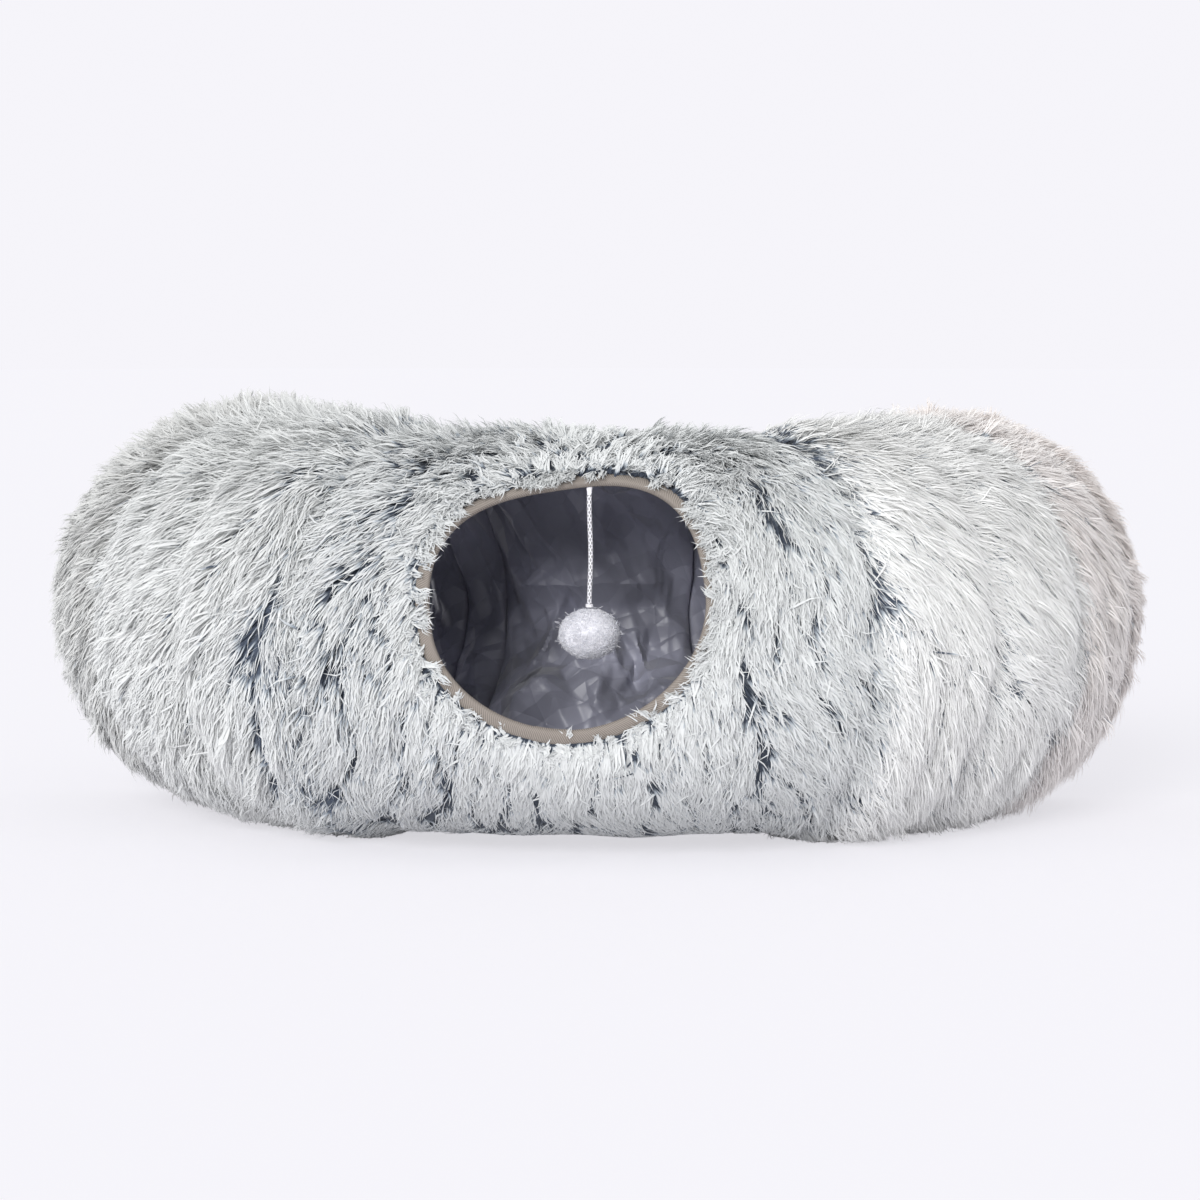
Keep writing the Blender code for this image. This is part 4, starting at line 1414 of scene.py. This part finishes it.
class CATTUNNEL_OT_lining(bpy.types.Operator):
    """Sew the thin lining, slack and crumpled between its hoops"""

    bl_idname = "cattunnel.lining"
    bl_label = "Lining"

    def execute(self, context):
        look = context.scene.cat_tunnel_lining
        material = lining_material(look.colour)
        for index in BAYS:
            middle = index == MIDDLE_BAY
            lining, across, along, around = bay_panel("lining_cloth", index, (116, 330), (28, 170))
            radius = LINING_OUTER_RADIUS - LINING_HOOP_GAP - lining_fold(along, around, across, middle, look)
            if middle:
                rim, _x, _z = hole_distance(tube_place(along, around, radius))
                flat_share = clamp(1.15 - rim / LINING_RIM_SLOPE) * (np.cos(around) > 0.3)
                radius = radius + flat_share * (LINING_RIM_RADIUS - radius)
            move_points(lining, tube_place(along, around, radius))
            sew_bay(lining, index, LINING_RIM_RADIUS, look.thickness, 1.0)
            smooth(lining, math.radians(35))
            set_material(lining, material)
            attach_bay(lining, index)
            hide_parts(f"lining_{bay_name(index)}")
        return {"FINISHED"}


class CATTUNNEL_OT_peephole(bpy.types.Operator):
    """Fold the twill tape round the peephole's edge"""

    bl_idname = "cattunnel.peephole"
    bl_label = "Peephole binding"

    tape_thickness: length_value("Tape", 0.0006, "Thickness of the tape, where its end laps over its start")
    steps: bpy.props.IntProperty(name="Steps", description="Points round the peephole", default=360)

    def execute(self, context):
        look = context.scene.cat_tunnel_trim
        centres, away, normals = rim_frames(self.steps)
        tape = add_grid("peephole_tape", self.steps, 24)
        across, up = grid_shares(tape)
        step = np.round(across * self.steps).astype(int) % self.steps
        turn = 2 * np.pi * up
        low = centres[step, 2] < PEEPHOLE_CENTRE_HEIGHT
        lap = low & (centres[step, 0] > LAP_START) & (centres[step, 0] < LAP_END)
        lapped = np.where(lap, self.tape_thickness, 0.0)
        half = PEEPHOLE_BINDING_WIDTH / 2 + 0.5 * lapped
        side = -half * np.copysign(np.abs(np.cos(turn)) ** 0.8, np.cos(turn))
        bead = (PEEPHOLE_BINDING_HALF_THICKNESS + lapped) * np.abs(np.sin(turn)) ** 0.6
        out = np.copysign(bead, np.sin(turn))
        points = centres[step] + side[:, None] * away[step] + out[:, None] * normals[step]
        rim_length = float(np.linalg.norm(np.diff(centres, axis=0), axis=1).sum())
        material = tape_material("beige_twill", look.tape_colour)
        finish_tape(tape, points, (rim_length, PEEPHOLE_TAPE_WIDTH), material)
        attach(tape, "middle")
        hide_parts("peephole_binding")
        return {"FINISHED"}


class CATTUNNEL_OT_ends(bpy.types.Operator):
    """Fold the twill tape round each end opening"""

    bl_idname = "cattunnel.ends"
    bl_label = "End bindings"

    def execute(self, context):
        look = context.scene.cat_tunnel_trim
        material = tape_material("end_twill", look.tape_colour)
        for side, sign in (("left", -1), ("right", 1)):
            tape = add_grid(f"end_tape_{side}", 300, 20)
            across, up = grid_shares(tape)
            around, turn = 2 * np.pi * across, 2 * np.pi * up
            bead = END_BINDING_HALF_THICKNESS * np.abs(np.sin(turn)) ** 0.7
            out = HOOP_RADIUS + np.copysign(bead, np.sin(turn))
            points = tube_place(np.full(len(around), sign * LAST_HOOP), around, out)
            points[:, 1] += END_BINDING_WIDTH / 2 * np.cos(turn)
            finish_tape(tape, points, (2 * math.pi * HOOP_RADIUS, END_TAPE_WIDTH), material)
            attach(tape, f"{side}_bay_{BAYS_IN_ARM}")
            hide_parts(f"end_binding_{side}")
        return {"FINISHED"}


class CATTUNNEL_OT_pompom(bpy.types.Operator):
    """Tie the soft pompom to the cord's end"""

    bl_idname = "cattunnel.pompom"
    bl_label = "Pompom"

    def execute(self, context):
        look = context.scene.cat_tunnel_trim
        low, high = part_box("pompom")
        centre = (np.array(low) + np.array(high)) / 2
        size = (np.array(high) - np.array(low)) / 2
        rng = np.random.default_rng(77)
        count = FUZZ_COUNT
        ways = unit(rng.normal(size=(count, 3)))
        length = FUZZ_LENGTH * rng.uniform(0.7, 1.1, count)
        outer = 1 - 0.09 * rng.beta(1.2, 1.6, count)
        lean = unit(ways + 0.45 * rng.normal(size=(count, 3)))
        tips = ways * outer[:, None]
        roots = tips - lean * (length / size.mean())[:, None]
        steps = STRAND_STEPS[None, :, None]
        lines = (roots[:, None] * (1 - steps) + tips[:, None] * steps) * size + centre
        sides = unit(np.cross(unit(lines[:, 3] - lines[:, 0]), unit(rng.normal(size=(count, 3)))))
        half_widths = np.full(count, FUZZ_HALF_WIDTH)
        shades = rng.uniform(0, 1, count)
        pompom = strand_mesh("fuzzy_pompom", lines, sides, half_widths, shades, np.full(count, 1.0))
        yarn = look.pompom_colour
        # Painted shade: the yarn is a little darker towards the core, for the shade among its fibres
        root, middle = shades_of(yarn, 0.96), shades_of(yarn, 0.98)
        set_material(pompom, pile_material("soft_yarn", root, middle, yarn, (1.0, 1.0, 1.0)))
        deselect()
        bpy.ops.mesh.primitive_uv_sphere_add(segments=40, ring_count=24, radius=1.0)
        core = named(context.active_object, "pompom_core")
        points = read_points(core)
        lumps = smooth_noise(points, 0.35, 9)
        move_points(core, points * (0.90 + 0.02 * lumps)[:, None] * size + centre)
        smooth(core)
        wound = cloth_material("yarn_core", yarn, roughness=0.9, thread=0.0008, contrast=0.05, sheen=0.3)
        set_material(core, wound)
        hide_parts("pompom")
        for piece in (pompom, core):
            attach(piece, "hanging_ball")
        return {"FINISHED"}


class CATTUNNEL_OT_hardware(bpy.types.Operator):
    """Finish the hoops, ferrules, wires, seam tapes and tie"""

    bl_idname = "cattunnel.hardware"
    bl_label = "Hoops and tapes"

    def execute(self, context):
        trim = context.scene.cat_tunnel_trim
        finishes = {
            "hoop": metal_material("spring_wire", STEEL_COLOUR, roughness=0.32, grain=900.0),
            "ferrule": metal_material("crimped_sleeve", SLEEVE_COLOUR, roughness=0.28, grain=500.0),
            "seam_tape": cloth_material(
                "woven_seam_tape", SEAM_TAPE_COLOUR, roughness=0.85, thread=0.0008, contrast=0.15
            ),
            "pompom_tie": cloth_material(
                "tied_thread", trim.cord_colour, roughness=0.85, thread=0.0004, contrast=0.1, sheen=0.2
            ),
        }
        finishes["peephole_wire"] = finishes["hoop"]
        finishes["peephole_ferrule"] = finishes["ferrule"]
        for name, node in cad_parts.items():
            for start, material in finishes.items():
                if name.startswith(start):
                    for slot in node.material_slots:
                        slot.material = material
        return {"FINISHED"}


class CATTUNNEL_PT_panel(bpy.types.Panel):
    """The tunnel's pieces, in the order they are made"""

    bl_idname = "CATTUNNEL_PT_panel"
    bl_label = "Cat Tunnel"
    bl_space_type = "VIEW_3D"
    bl_region_type = "UI"
    bl_category = "Cat Tunnel"

    def draw(self, context):
        for operator in OPERATORS:
            self.layout.operator(operator.bl_idname)
        for name in PROPERTY_GROUPS:
            group = getattr(context.scene, name)
            box = self.layout.box()
            for prop in group.__annotations__:
                box.prop(group, prop)


PROPERTY_GROUPS = {
    "cat_tunnel_cover": CatTunnelCover,
    "cat_tunnel_pile": CatTunnelPile,
    "cat_tunnel_lining": CatTunnelLining,
    "cat_tunnel_trim": CatTunnelTrim,
    "cat_tunnel_stage": CatTunnelStage,
}
OPERATORS = (
    CATTUNNEL_OT_stage,
    CATTUNNEL_OT_pompom,
    CATTUNNEL_OT_cord,
    CATTUNNEL_OT_cord_end,
    CATTUNNEL_OT_cover,
    CATTUNNEL_OT_pile,
    CATTUNNEL_OT_lining,
    CATTUNNEL_OT_peephole,
    CATTUNNEL_OT_ends,
    CATTUNNEL_OT_hardware,
)


def register():
    for name, group in PROPERTY_GROUPS.items():
        bpy.utils.register_class(group)
        setattr(bpy.types.Scene, name, bpy.props.PointerProperty(type=group))
    for cls in (*OPERATORS, CATTUNNEL_PT_panel):
        bpy.utils.register_class(cls)


def unregister():
    for cls in (CATTUNNEL_PT_panel, *reversed(OPERATORS)):
        bpy.utils.unregister_class(cls)
    for name, group in reversed(PROPERTY_GROUPS.items()):
        delattr(bpy.types.Scene, name)
        bpy.utils.unregister_class(group)


def main():
    register()
    bpy.ops.cattunnel.stage()
    bpy.ops.cattunnel.pompom()
    bpy.ops.cattunnel.cord()
    bpy.ops.cattunnel.cord_end()
    bpy.ops.cattunnel.cover()
    bpy.ops.cattunnel.pile()
    bpy.ops.cattunnel.lining()
    bpy.ops.cattunnel.peephole()
    bpy.ops.cattunnel.ends()
    bpy.ops.cattunnel.hardware()


if __name__ == "__main__":
    main()
